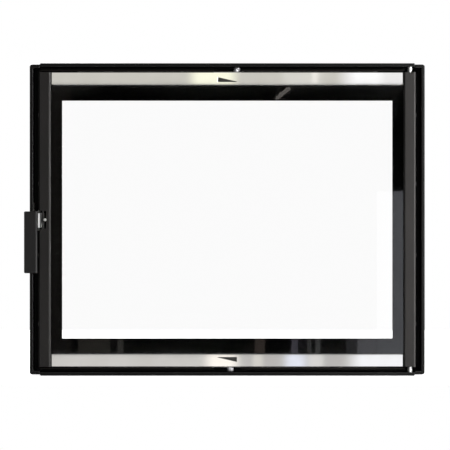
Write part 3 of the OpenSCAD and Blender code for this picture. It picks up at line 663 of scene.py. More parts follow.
class Grown(Tree):
    """A Geometry Nodes tree with named sizes, and the mesh that grows from it."""

    def __init__(
        self, name: str, sizes_mm: dict[str, float], counts: dict[str, float] | None = None
    ) -> None:
        """Starts a tree with a named input for each size and count.

        Args:
            name: The tree's name.
            sizes_mm: The name and value of each size, in millimetres.
            counts: The name and value of each other input.
        """
        super().__init__(bpy.data.node_groups.new(name, "GeometryNodeTree"))
        face = self.tree.interface
        face.new_socket("Geometry", in_out="INPUT", socket_type="NodeSocketGeometry")
        face.new_socket("Geometry", in_out="OUTPUT", socket_type="NodeSocketGeometry")
        self.sizes = {key: value * MM for key, value in sizes_mm.items()} | (counts or {})
        for key, value in self.sizes.items():
            kind = "NodeSocketInt" if isinstance(value, int) else "NodeSocketFloat"
            face.new_socket(key, in_out="INPUT", socket_type=kind)
        self.given = self.add("NodeGroupInput").outputs

    def moved(self, geometry: Socket, offset: object, select: object = True) -> Socket:
        """Geometry with its points shifted, all of them or those that select names."""
        values = {"Geometry": geometry, "Offset": offset, "Selection": select}
        return self.out("GeometryNodeSetPosition", values)

    def shifted(
        self, geometry: object, x: object = 0.0, y: object = 0.0, z: object = 0.0
    ) -> Socket:
        """Geometry moved as a whole, to the right, back and up."""
        values = {"Geometry": geometry, "Translation": self.xyz(x, y, z)}
        return self.out("GeometryNodeTransform", values)

    def cylinder(
        self, sides: int, radius: Socket, depth: Socket, more: dict | None = None,
        **settings: object,
    ) -> Socket:
        """An upright cylinder round the origin; more and the settings are as for add."""
        values = {"Vertices": sides, "Radius": radius, "Depth": depth} | (more or {})
        return self.out("GeometryNodeMeshCylinder", values, **settings)

    def stepped(self, path: Socket, count: Socket) -> Socket:
        """A path with so many points at even steps."""
        return self.out("GeometryNodeResampleCurve", {"Curve": path, "Count": count}, mode="COUNT")

    def swept(self, path: Socket, sides: int, radius: Socket, caps: bool = False) -> Socket:
        """Sweeps a round bar along a path.

        Args:
            path: The curve that it follows.
            sides: How many sides the bar has.
            radius: The bar's radius.
            caps: Whether its ends are closed.

        Returns:
            The bar's socket.
        """
        ring = {"Resolution": sides, "Radius": radius}
        values = {"Curve": path, "Fill Caps": caps}
        values["Profile Curve"] = self.out("GeometryNodeCurvePrimitiveCircle", ring)
        return self.out("GeometryNodeCurveToMesh", values)

    def joined(self, *parts: Socket) -> Socket:
        """Several geometries as one.

        Args:
            parts: The geometries' sockets.

        Returns:
            The geometry's socket.
        """
        node = self.add("GeometryNodeJoinGeometry")
        for part in parts:
            self.tree.links.new(part, node.inputs[0])
        return node.outputs[0]

    def cut(self, body: Socket, tool: Socket) -> Socket:
        """A mesh with another taken out of it."""
        both = {"Mesh 1": body, "Mesh 2": tool}
        return self.out("GeometryNodeMeshBoolean", both, operation="DIFFERENCE", solver="EXACT")

    def set_on_points(self, item: Socket) -> Socket:
        """One item on every point of the input, turned the way that the point's axis says.

        Args:
            item: The item's socket.

        Returns:
            The instances' socket.
        """
        named = "GeometryNodeInputNamedAttribute"
        axis = self.out(named, {"Name": "axis"}, data_type="FLOAT_VECTOR")
        turn = self.out("FunctionNodeAlignRotationToVector", {"Vector": axis}, axis="Z")
        values = {"Points": self.given["Geometry"], "Instance": item, "Rotation": turn}
        return self.out("GeometryNodeInstanceOnPoints", values)

    def grow(self, result: Socket, finish: Finish, seed: Mesh, name: str) -> Mesh:
        """Ends the tree, feeds it its sizes and keeps what it makes.

        Args:
            result: The tree's last geometry.
            finish: The finish of the mesh.
            seed: The mesh that the tree starts from.
            name: The new mesh's name.

        Returns:
            The plain mesh.
        """
        real = self.out("GeometryNodeRealizeInstances", {0: result})
        dress = {"Geometry": real, "Material": finish.material()}
        self.add("NodeGroupOutput", {0: self.out("GeometryNodeSetMaterial", dress)})
        piece = carrier(seed)
        modifier = piece.modifiers.new(name, "NODES")
        modifier.node_group = self.tree
        for item in self.tree.interface.items_tree:
            if item.in_out == "INPUT" and item.name in self.sizes:
                modifier[item.identifier] = self.sizes[item.name]
        mesh = plain_mesh(piece, name)
        bpy.data.node_groups.remove(self.tree)
        return crisp(mesh)


def points(places_mm: Sequence[Place], axes: Sequence[Axis]) -> Mesh:
    """Loose points with a direction, for a tree to set things on.

    Args:
        places_mm: The points, in millimetres.
        axes: The direction of each.

    Returns:
        The mesh of points.
    """
    mesh = bpy.data.meshes.new("points")
    mesh.from_pydata([tuple(c * MM for c in place) for place in places_mm], [], [])
    layer = mesh.attributes.new("axis", "FLOAT_VECTOR", "POINT")
    for n, axis in enumerate(axes):
        layer.data[n].vector = axis.value
    return mesh


@dataclass(frozen=True)
class Screw:
    """A slotted screw, or a stud where the head is left out. Sizes in millimetres.

    The dome is how much of the head's height its rim drops.
    """

    shank_r: float
    shank_l: float
    head_r: float = 0.0
    head_h: float = 0.0
    slot_w: float = 0.0
    slot_d: float = 0.0
    pitch: float = 0.8
    thread: float = 0.3
    dome: float = 0.3

    def set(self, seed: Mesh, finish: Finish, name: str) -> Mesh:
        """Sets one screw on each point, its head's seat on the point.

        Args:
            seed: The points.
            finish: The screws' finish.
            name: The mesh's name.

        Returns:
            The mesh of all the screws.
        """
        sizes = {"Shank Radius": self.shank_r, "Shank Length": self.shank_l}
        sizes |= {"Head Radius": self.head_r, "Head Height": self.head_h}
        sizes |= {"Slot Width": self.slot_w, "Slot Depth": self.slot_d}
        sizes |= {"Pitch": self.pitch, "Thread Depth": self.thread}
        rings = max(2, round(self.shank_l / self.pitch * TURN_RINGS)) if self.thread else 2
        g = Grown(name + "_tree", sizes, {"Thread Rings": rings})
        item = self.shank(g)
        if self.head_r:
            item = g.joined(item, self.head(g))
        return g.grow(g.set_on_points(item), finish, seed, name)

    def shank(self, g: Grown) -> Socket:
        """The shank, with a thread that winds round it.

        Args:
            g: The tree to build in.

        Returns:
            The shank's socket.
        """
        radius, length = g.given["Shank Radius"], g.given["Shank Length"]
        rings = {"Side Segments": g.given["Thread Rings"]}
        rod = g.cylinder(SHANK_SIDES, radius, length, rings, fill_type="TRIANGLE_FAN")
        place = g.out("GeometryNodeInputPosition")
        parts = g.split(place)
        angle = g.sum("DIVIDE", g.sum("ARCTAN2", parts[1], parts[0]), WHOLE_TURN)
        climb = g.sum("SUBTRACT", g.sum("DIVIDE", parts[2], g.given["Pitch"]), angle)
        # In each turn this goes from 0 to 0.5 and back, so twice as much is the whole depth.
        wind = g.sum("PINGPONG", climb, 0.5)
        depth = g.sum("DIVIDE", g.times(g.given["Thread Depth"], wind), radius)
        inward = g.vector_sum("MULTIPLY", place, g.xyz(depth, depth))
        cut = g.moved(rod, g.scaled(inward, -2.0))
        return g.shifted(cut, z=g.times(length, -0.5))

    def head(self, g: Grown) -> Socket:
        """The head, domed and slotted.

        Args:
            g: The tree to build in.

        Returns:
            The head's socket.
        """
        radius, height = g.given["Head Radius"], g.given["Head Height"]
        rings = {"Side Segments": 3, "Fill Segments": 4}
        disc = g.cylinder(HEAD_SIDES, radius, height, rings, fill_type="TRIANGLE_FAN")
        parts = g.split(g.out("GeometryNodeInputPosition"))
        squares = g.sum("ADD", g.sum("POWER", parts[0], 2.0), g.sum("POWER", parts[1], 2.0))
        far = g.sum("DIVIDE", g.sum("SQRT", squares), radius)
        drop = g.times(g.sum("POWER", far, 4.0), g.times(height, -self.dome))
        # Only the head's outer face is domed.
        top = g.sum("GREATER_THAN", parts[2], g.times(height, 0.4))
        domed = g.shifted(g.moved(disc, g.xyz(z=drop), top), z=g.times(height, 0.5))
        if not self.slot_w:
            return domed
        deep = g.times(g.given["Slot Depth"], 2.0)
        box = g.xyz(g.times(radius, 4.0), g.given["Slot Width"], deep)
        return g.cut(domed, g.shifted(g.out("GeometryNodeMeshCube", {"Size": box}), z=height))


@dataclass(frozen=True)
class HexNut:
    """A hexagon nut with chamfered corners. Sizes in millimetres.

    The chamfer is how much of their width the nut's ends lose at the corners.
    """

    flats: float = 7.0
    height: float = 3.2
    bore_r: float = 2.05
    chamfer: float = 0.11

    def set(self, seed: Mesh, finish: Finish, name: str) -> Mesh:
        """Sets one nut on each point, its seat on the point.

        Args:
            seed: The points.
            finish: The nuts' finish.
            name: The mesh's name.

        Returns:
            The mesh of all the nuts.
        """
        sizes = {"Corner Radius": self.flats / math.sqrt(3), "Height": self.height}
        g = Grown(name + "_tree", sizes | {"Bore Radius": self.bore_r})
        radius, height = g.given["Corner Radius"], g.given["Height"]
        bar = g.cylinder(NUT_SIDES, radius, height, {"Side Segments": 6})
        place = g.out("GeometryNodeInputPosition")
        high = g.sum("DIVIDE", g.times(g.split(place)[2], 2.0), height)
        narrow = g.times(g.sum("POWER", g.sum("ABSOLUTE", high), 3.0), -self.chamfer)
        bar = g.moved(bar, g.vector_sum("MULTIPLY", place, g.xyz(narrow, narrow)))
        # What a hexagon and a round bar with narrowed ends have in common has its corners cut.
        both = g.add("GeometryNodeMeshBoolean", operation="INTERSECT", solver="EXACT")
        for part in (g.cylinder(6, radius, height), bar):
            g.tree.links.new(part, both.inputs["Mesh 2"])
        drill = g.cylinder(BORE_SIDES, g.given["Bore Radius"], g.times(height, 2.0))
        nut = g.shifted(g.cut(both.outputs[0], drill), z=g.times(height, 0.5))
        return g.grow(g.set_on_points(nut), finish, seed, name)


@dataclass
class Assembly:
    """A group of pieces on one body, made and dressed in order."""

    body: str
    made: list[Piece] = field(default_factory=list)

    def keep(
        self, mesh: Mesh, finish: Finish, *nodes: str, body: str = "",
        edge: Finish | None = None, twist: tuple[str, str, Place, Place] | None = None,
    ) -> None:
        """Puts a mesh in the scene in place of CAD nodes, on its body and in its finish.

        Args:
            mesh: The mesh, in its place.
            finish: The piece's finish.
            nodes: The CAD nodes that it stands for.
            body: The body it rides on, if not the assembly's own.
            edge: The finish of its rounded edges, if another; for the painted parts this is a lighter paint,
                a painted highlight.
            twist: For a piece that rides on neither of two bodies: the body at each end, and
                where its twist starts and stops.
        """
        second = (edge or finish).material()
        if len(mesh.materials) > 1:
            mesh.materials[0], mesh.materials[1] = finish.material(), second
        else:
            mesh.materials.clear()
            mesh.materials.append(finish.material())
        piece = bpy.data.objects.new(nodes[0] + "_finished", mesh)
        bpy.context.scene.collection.objects.link(piece)
        if twist:
            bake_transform(piece, *twist)
        else:
            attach(piece, body or self.body)
        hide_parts(*nodes)
        self.made.append(piece)
        LOG.info("%s: %d faces on %s", piece.name, len(mesh.polygons), body or self.body)

    def copy(
        self, node: str, finish: Finish, rounding: Rounding, body: str = "",
        edge: Finish | None = None,
    ) -> None:
        """Keeps a CAD node's own shape with its edges rounded; the rest is as for keep."""
        self.keep(rounded_copy(node, rounding), finish, node, body=body, edge=edge)

    def fasten(
        self, kind: Screw | HexNut, name: str, finish: Finish, spots: Sequence[Place],
        *axes: Axis, body: str = "",
    ) -> None:
        """Sets a fastener on each spot, and keeps them all as one piece.

        Args:
            kind: The fastener.
            name: The CAD node that they stand for.
            finish: Their finish.
            spots: The places of their seats, in millimetres.
            axes: The direction of each, or one for all.
            body: The body they ride on, if not the assembly's own.
        """
        seed = points(spots, axes if len(axes) > 1 else axes * len(spots))
        self.keep(kind.set(seed, finish, name), finish, name, body=body)


# ---------- the door's sub-assemblies ----------


@dataclass
class OuterFrame(Assembly):
    """The fixed frame: stiles and rails with an upright lip, and the strike. In millimetres."""

    lip_front: float = -38.0
    lip_round: float = 1.5
    rail_end: float = 299.9
    rail_edge: float = 250.0
    corner_round: float = 2.2
    strike_face: float = -309.2
    strike_screw_y: float = -28.25
    strike_screw_zs: Pair = (20.4, -23.6)

    def lips(self) -> Rounding:
        """The rounding of a member: wide along the lip's front, and at a rail's outer corners.

        Returns:
            The rounding.
        """
        near, far = self.lip_front - NEAR, self.lip_front + NEAR
        zones = []
        for side in (-1, 1):
            xs = sorted((side * (self.rail_end - NEAR), side * (self.rail_end + NEAR)))
            for end in (-1, 1):
                zs = sorted((end * (self.rail_edge - NEAR), end * (self.rail_edge + NEAR)))
                zones.append(((xs[0], near, zs[0]), (xs[1], 0.0, zs[1]), self.corner_round))
        zones.append(((-REACH, near, -REACH), (REACH, far, REACH), self.lip_round))
        return Rounding(0.4, segments=3, zones=tuple(zones))

    def build(self) -> None:
        """Makes the stiles, the rails and the strike with its screws."""
        for node in ("left_stile", "right_stile", "top_rail", "bottom_rail"):
            # The rounded edges, the lips' front edges most of all, take the lighter paint as a painted
            # highlight.
            self.copy("frame_" + node, FRAME_PAINT, self.lips(), edge=FRAME_EDGE_HIGHLIGHT)
        for node in ("strike_plate", "strike_nose"):
            self.copy(node, STRIKE_STEEL, Rounding(0.25))
        screw = Screw(shank_r=2.0, shank_l=5.1, head_r=3.6, head_h=1.2, slot_w=0.8, slot_d=0.6)
        spots = [(self.strike_face, self.strike_screw_y, z) for z in self.strike_screw_zs]
        self.fasten(screw, "strike_screws", STRIKE_STEEL, spots, Axis.RIGHT)


@dataclass
class DoorSeal(Assembly):
    """The braided rope that the leaf closes on. Sizes in millimetres."""

    width: float = 564.0
    height: float = 438.0
    bend: float = 14.0
    depth: float = -9.2
    strands: int = 4
    strand_r: float = 1.42
    laid_r: float = 3.28
    weave: float = 0.28
    core_r: float = 3.1
    turns: int = 54
    steps: int = 1300
    core_steps: int = 160
    bend_steps: int = 12
    strand_sides: int = 5
    core_sides: int = 10

    def strand_path(self, g: Grown, path: Socket, way: int) -> Socket:
        """The strands that wind one way, in and out of those that wind the other way.

        Args:
            g: The tree to build in.
            path: The rope's middle line.
            way: 1 or -1, the way that they wind.

        Returns:
            The curves' socket.
        """
        size = g.given
        copies = {"Geometry": path, "Amount": size["Strands"]}
        laid = g.add("GeometryNodeDuplicateElements", copies, domain="SPLINE").outputs
        share = g.add("GeometryNodeSplineParameter").outputs["Factor"]
        along = g.times(share, g.times(size["Turns"], way * WHOLE_TURN))
        start = g.times(g.sum("DIVIDE", laid[1], size["Strands"]), WHOLE_TURN)
        angle = g.sum("ADD", start, along)
        wave = g.sum("COSINE", g.times(along, size["Strands"]))
        reach = g.sum("ADD", size["Laid Radius"], g.times(wave, g.times(size["Weave"], way)))
        out = g.vector_sum("CROSS_PRODUCT", g.out("GeometryNodeInputTangent"), Axis.UP.value)
        flat = g.scaled(out, g.times(g.sum("COSINE", angle), reach))
        up = g.xyz(z=g.times(g.sum("SINE", angle), reach))
        return g.moved(laid[0], g.vector_sum("ADD", flat, up))

    def build(self) -> None:
        """Braids the rope round a rounded rectangle."""
        sizes = {"Width": self.width, "Height": self.height, "Bend": self.bend}
        sizes |= {"Depth": self.depth, "Strand Radius": self.strand_r, "Laid Radius": self.laid_r}
        sizes |= {"Weave": self.weave, "Core Radius": self.core_r}
        counts = {"Strands": self.strands, "Turns": self.turns, "Steps": self.steps}
        g = Grown("rope_tree", sizes, counts | {"Core Steps": self.core_steps})
        size = g.given
        rectangle = {"Width": size["Width"], "Height": size["Height"]}
        loop = g.out("GeometryNodeCurvePrimitiveQuadrilateral", rectangle)
        corner = {"Curve": loop, "Count": self.bend_steps, "Radius": size["Bend"]}
        bent = g.out("GeometryNodeFilletCurve", corner, mode="POLY")
        path = g.stepped(bent, size["Steps"])
        strands = g.joined(self.strand_path(g, path, 1), self.strand_path(g, path, -1))
        yarn = g.swept(strands, self.strand_sides, size["Strand Radius"])
        middle = g.stepped(bent, size["Core Steps"])
        core = g.swept(middle, self.core_sides, size["Core Radius"])
        stood = {"Geometry": g.joined(yarn, core), "Rotation": (math.radians(90), 0.0, 0.0)}
        rope = g.shifted(g.out("GeometryNodeTransform", stood), y=size["Depth"])
        mesh = g.grow(rope, ROPE_FIBRE, points([(0, 0, 0)], [Axis.UP]), "door_rope_seal")
        self.keep(mesh, ROPE_FIBRE, "door_rope_seal")


@dataclass
class Hinges(Assembly):
    """The pins in the frame, and what runs on them in the leaf. Sizes in millimetres."""

    axis_x: float = 293.0
    axis_y: float = -27.25
    pin_r: float = 4.0
    pin_low: float = 223.0
    pin_high: float = 250.0
    low_chamfer: float = 0.9
    high_chamfer: float = 0.6

    def build(self) -> None:
        """Turns the pins, and dresses what runs on them."""
        r, length = self.pin_r, self.pin_high - self.pin_low
        low, high = self.low_chamfer, self.high_chamfer
        outline = ((0.0, 0.0), (r - low, 0.0), (r, low))
        outline += ((r, length - high), (r - high, length), (0.0, length))
        for end, way, axis in (("top", 1, Axis.UP), ("bottom", -1, Axis.DOWN)):
            pin = Turned(outline, (self.axis_x, self.axis_y, way * self.pin_low), axis)
            node = "hinge_pin_" + end
            self.keep(pin.mesh(node), PIN_STEEL, node, body="frame")
        self.copy("hinge_blocks", LEAF_PAINT, Rounding(0.35))
        for node in ("hinge_bush_top", "hinge_bush_bottom", "hinge_thrust_disc"):
            self.copy(node, BRONZE, Rounding(0.15))


@dataclass
class LeafShell(Assembly):
    """The leaf's folded stiles, and its rails with flange, duct and air holes. In millimetres."""

    flange_front: float = -36.0
    flange_round: float = 0.55

    def build(self) -> None:
        """Dresses the stiles and the rails."""
        near, far = self.flange_front - NEAR, self.flange_front + NEAR
        front = ((-REACH, near, -REACH), (REACH, far, REACH), self.flange_round)
        for node in ("leaf_left_stile", "leaf_right_stile"):
            self.copy(node, LEAF_PAINT, Rounding(0.3))
        for node in ("leaf_top_rail", "leaf_bottom_rail"):
            self.copy(node, LEAF_PAINT, Rounding(0.25, zones=(front,)))


@dataclass
class Glazing(Assembly):
    """The pane, its print and tape, and the profiles that clamp its sides. In millimetres."""

    face: float = -28.0
    fused: float = 0.02
    head_x: float = 301.5
    screw_y: float = -31.8
    screw_zs: tuple[float, ...] = (-167.2, -57.2, 57.2, 167.2)

    def build(self) -> None:
        """Dresses the pane and the profiles, and sets the profiles' screws."""
        self.copy("glass_pane", CLEAR_GLASS, Rounding(0.5, segments=3, flat=True))
        border = rounded_copy("glass_printed_border", Rounding(0.05, segments=1, flat=True))
        # The print lies in the pane's face, so that light meets no gap between the two.
        for vertex in border.vertices:
            vertex.co.y = max(vertex.co.y, (self.face + self.fused) * MM)
        self.keep(border, PRINTED_ENAMEL, "glass_printed_border")
        self.copy("glass_seal_tape", TAPE_FIBRE, Rounding(0.3))
        for node in ("left_glass_profile", "right_glass_profile"):
            # The profiles' bevels and rounded edges take the lighter paint as a painted highlight.
            self.copy(node, PROFILE_PAINT, Rounding(0.35, segments=3), edge=PROFILE_EDGE_HIGHLIGHT)
        spots = [(side * self.head_x, self.screw_y, z) for side in (-1, 1) for z in self.screw_zs]
        axes = [Axis.RIGHT if spot[0] > 0 else Axis.LEFT for spot in spots]
        screw = Screw(shank_r=2.0, shank_l=4.5, head_r=3.5, head_h=1.2, slot_w=0.8, slot_d=0.6)
        self.fasten(screw, "profile_screws", BLACK_SCREW, spots, *axes)


@dataclass
class Trims(Assembly):
    """The polished strips and wedge marks, with the strips' studs and nuts. In millimetres."""

    stud_xs: tuple[float, ...] = (-230.4, -84.3, 84.3, 230.4)
    stud_z: float = 230.2
    stud_end: float = -19.9
    nut_seat: float = -24.0

    def build(self) -> None:
        """Dresses the strips and marks, and sets the studs and nuts."""
        for node in ("top_trim", "bottom_trim"):
            self.copy(node, TRIM_STEEL, Rounding(0.18, flat=True))
        self.copy("air_wedge_marks", MARK_ENAMEL, Rounding(0.06, segments=1))
        spots = [(x, way * self.stud_z) for way in (-1, 1) for x in self.stud_xs]
        ends, seats = ([(x, y, z) for x, z in spots] for y in (self.stud_end, self.nut_seat))
        stud = Screw(shank_r=2.0, shank_l=12.4, pitch=0.7, thread=0.25)
        self.fasten(stud, "trim_studs", PIN_STEEL, ends, Axis.BACK)
        self.fasten(HexNut(), "trim_nuts", PLAIN_STEEL, seats, Axis.BACK)


@dataclass
class Catch(Assembly):
    """The handle plate with its sprung roller, and the bracket on the leaf. In millimetres.

    Each of the turned parts has its outline given for one end.
    """

    screw_place: Place = (-291.4, -40.0, -0.4)
    pivot: Pair = (-294.8, -20.5)
    pivot_foot: float = -15.65
    pivot_l: float = 28.1
    pivot_end: tuple[Pair, ...] = ((0.0, 0.0), (1.2, 0.0), (1.5, 0.3))
    roller: Pair = (-302.0, -31.0)
    roller_foot: float = -13.85
    roller_l: float = 24.5
    roller_end: tuple[Pair, ...] = (
        (2.05, 0.3), (2.35, 0.0), (5.3, 0.0), (6.0, 0.7),
        (6.0, 3.2), (5.85, 3.35), (5.85, 3.75), (6.0, 3.9),
    )
    rivet_foot: float = -17.35
    rivet_l: float = 31.5
    rivet_end: tuple[Pair, ...] = (
        (0.0, 0.0), (1.4, 0.08), (2.2, 0.35), (2.6, 0.75), (2.6, 1.8), (2.0, 1.8)
    )
    coil_r: float = 2.6
    wire_r: float = 0.48
    spring_low: float = 1.2
    spring_high: float = 12.35
    coil_low: float = 4.0
    coil_high: float = 10.0
    coil_start: float = 0.25
    coil_turns: float = 5.404
    wire_steps: int = 300
    wire_sides: int = 8

    def build(self) -> None:
        """Makes the bracket, the pins, the handle plate, the roller and the spring."""
        self.copy("latch_bracket", LEAF_PAINT, Rounding(0.25), body="leaf")
        screw = Screw(
            shank_r=1.25, shank_l=11.3, head_r=2.4, head_h=1.8, slot_w=0.7, slot_d=0.6,
            pitch=0.5, thread=0.2,
        )
        spots = [self.screw_place]
        self.fasten(screw, "latch_screw", PIN_STEEL, spots, Axis.FRONT, body="leaf")
        outline = both_ends(self.pivot_end, self.pivot_l)
        pin = Turned(outline, (*self.pivot, self.pivot_foot), Axis.UP, steps=24)
        self.keep(pin.mesh("latch_pivot_pin"), GREY_STEEL, "latch_pivot_pin", body="leaf")
        self.copy("handle_plate", HANDLE_PAINT, Rounding(0.4, segments=3))
        outline = both_ends(self.rivet_end, self.rivet_l)
        rivet = Turned(outline, (*self.roller, self.rivet_foot), Axis.UP, steps=32)
        self.keep(rivet.mesh("roller_pin"), PIN_STEEL, "roller_pin")
        outline = both_ends(self.roller_end, self.roller_l)
        drum = Turned(outline, (*self.roller, self.roller_foot), Axis.UP, bored=True, steps=56)
        self.keep(drum.mesh("latch_roller"), ROLLER_STEEL, "latch_roller", body="roller")
        x, y = (c * MM for c in self.pivot)
        twist = ("leaf", "handle", (x, y, self.coil_low * MM), (x, y, self.coil_high * MM))
        self.keep(self.spring(), SPRING_STEEL, "latch_spring", twist=twist)

    def spring(self) -> Mesh:
        """Winds the torsion spring from one wire: a leg, the coil and the other leg.

        Returns:
            The wire's mesh.
        """
        sizes = {"Coil Radius": self.coil_r, "Wire Radius": self.wire_r}
        sizes |= {"Low": self.spring_low, "High": self.spring_high}
        sizes |= {"Coil Low": self.coil_low, "Coil High": self.coil_high}
        g = Grown("spring_tree", sizes, {"Turns": self.coil_turns, "Steps": self.wire_steps})
        size = g.given
        line = g.out("GeometryNodeCurvePrimitiveLine", {"End": Axis.UP.value})
        line = g.stepped(line, size["Steps"])
        share = g.add("GeometryNodeSplineParameter").outputs["Factor"]
        wire = {"Value": share, "To Min": size["Low"], "To Max": size["High"]}
        high = g.out("ShaderNodeMapRange", wire)
        coil = {"Value": high, "From Min": size["Coil Low"], "From Max": size["Coil High"]}
        turned = g.out("ShaderNodeMapRange", coil | {"To Min": 0.0, "To Max": size["Turns"]})
        angle = g.times(g.sum("ADD", turned, self.coil_start), WHOLE_TURN)
        x, y = (g.times(g.sum(way, angle), size["Coil Radius"]) for way in ("COSINE", "SINE"))
        wound = {"Geometry": line, "Position": g.xyz(x, y, high)}
        path = g.out("GeometryNodeSetPosition", wound)
        body = g.swept(path, self.wire_sides, size["Wire Radius"], caps=True)
        body = g.shifted(body, *(c * MM for c in self.pivot))
        return g.grow(body, SPRING_STEEL, points([(0, 0, 0)], [Axis.UP]), "latch_spring")


@dataclass
class AirSlide(Assembly):
    """One sliding air plate with its knob, and the studs that guide it. Sizes in millimetres."""

    end: str = "top"
    knob_x: float = 15.6
    knob_y: float = -27.4
    knob_foot: float = 236.7
    knob_outline: tuple[Pair, ...] = (
        (1.58, 0.0), (5.2, 0.0), (5.6, 0.4), (5.6, 3.1), (4.6, 3.45), (4.6, 4.15), (5.6, 4.5),
        (5.6, 5.2), (5.35, 5.75), (4.8, 6.2), (3.6, 6.5), (1.8, 6.6), (0.0, 6.6), (0.0, 4.2),
        (1.58, 4.2),
    )
    knob_flutes: int = 24
    flute_mm: float = 0.3
    fluted: Pair = (0.4, 3.1)
    screw_seat: float = 235.2
    stud_x: float = 195.0
    stud_seat: float = 234.9

    def build(self) -> None:
        """Dresses the plate, turns the knob and sets the screws and studs."""
        way = 1 if self.end == "top" else -1
        out, into = (Axis.UP, Axis.DOWN) if way > 0 else (Axis.DOWN, Axis.UP)
        self.copy(self.end + "_air_slide", PLAIN_STEEL, Rounding(0.2, segments=1))
        knob = Turned(
            self.knob_outline, (self.knob_x, self.knob_y, way * self.knob_foot), out, bored=True,
            steps=96, flutes=self.knob_flutes, flute_mm=self.flute_mm, fluted=self.fluted,
        )
        node = self.end + "_slide_knob"
        self.keep(knob.mesh(node), CHROME, node)
        screw = Screw(
            shank_r=1.5, shank_l=5.5, head_r=3.0, head_h=1.2, slot_w=0.8, slot_d=0.6,
            pitch=0.5, thread=0.2,
        )
        spots = [(self.knob_x, self.knob_y, way * self.screw_seat)]
        self.fasten(screw, self.end + "_knob_screw", PLAIN_STEEL, spots, into)
        stud = Screw(shank_r=2.0, shank_l=5.1, head_r=3.2, head_h=1.2, thread=0.0)
        spots = [(side * self.stud_x, self.knob_y, way * self.stud_seat) for side in (-1, 1)]
        self.fasten(stud, self.end + "_slide_studs", BLACK_SCREW, spots, into, body="leaf")


# ---------- the studio ----------

# The plane that the cards stand in, and the lower and upper edge of the common ones, in metres.
CARD_PLANE = -4.1
OVER = (0.444, 1.0)
TALL = (0.444, 1.2)
UNDER = (-0.9, -0.424)
DEEP = (-1.1, -0.424)
SILL = (-0.423, -0.36)
CENTRE = (0.0, 0.0, 0.0)


@dataclass(frozen=True)
class Softbox:
    """A square lamp that points at a spot. Sizes in metres."""

    name: str
    place: Place
    aim: Place
    size: Pair
    watts: float
    colour: Colour = WHITE
    roll: float = 0.0
    soft: float = 0.0

    @classmethod
    def card(
        cls, name: str, across: Pair, up: Pair, level: float, colour: Colour = WHITE,
        near: float = 0.0, roll: float = 0.0, soft: float = 0.0,
    ) -> "Softbox":
        """A lit card behind the camera that faces the door, for the glass and steel to show.

        Args:
            name: The card's name.
            across: Its left and right edge.
            up: Its lower and upper edge.
            level: How bright it looks, where 1 is white.
            colour: Its colour.
            near: How far it stands in front of the others.
            roll: How far it is turned in its own plane, in degrees.
            soft: How wide it fades at its left and right edge.

        Returns:
            The card.
        """
        wide, high = across[1] - across[0], up[1] - up[0]
        x, z = sum(across) / 2, sum(up) / 2
        watts = math.pi * wide * high * level
        place = (x, CARD_PLANE + near, z)
        return cls(name, place, (x, 0.0, z), (wide, high), watts, colour, roll, soft)

    def fade(self, data: bpy.types.Light) -> None:
        """Lets the card fade out towards its left and right edge.

        Args:
            data: The lamp's data.
        """
        data.use_nodes = True
        t = Tree(data.node_tree)
        t.tree.nodes.clear()
        across = t.split(t.add("ShaderNodeNewGeometry").outputs["Parametric"])[0]
        edge = t.times(t.sum("MINIMUM", across, t.sum("SUBTRACT", 1.0, across)), self.size[0])
        values = {"Value": edge, "From Max": self.soft}
        level = t.out("ShaderNodeMapRange", values, interpolation_type="SMOOTHSTEP")
        t.add("ShaderNodeOutputLight", {0: t.out("ShaderNodeEmission", {"Strength": level})})

    def hang(self) -> None:
        """Hangs the lamp, out of the camera's sight."""
        data = bpy.data.lights.new(self.name, "AREA")
        data.shape = "RECTANGLE"
        data.size, data.size_y = self.size
        data.energy = self.watts
        data.color = self.colour
        if self.soft:
            self.fade(data)
        lamp = bpy.data.objects.new(self.name, data)
        bpy.context.scene.collection.objects.link(lamp)
        lamp.location = self.place
        facing = (Vector(self.aim) - Vector(self.place)).to_track_quat("-Z", "Y")
        rolled = facing @ Quaternion(Axis.UP.value, math.radians(self.roll))
        lamp.rotation_euler = rolled.to_euler()
        lamp.visible_camera = False


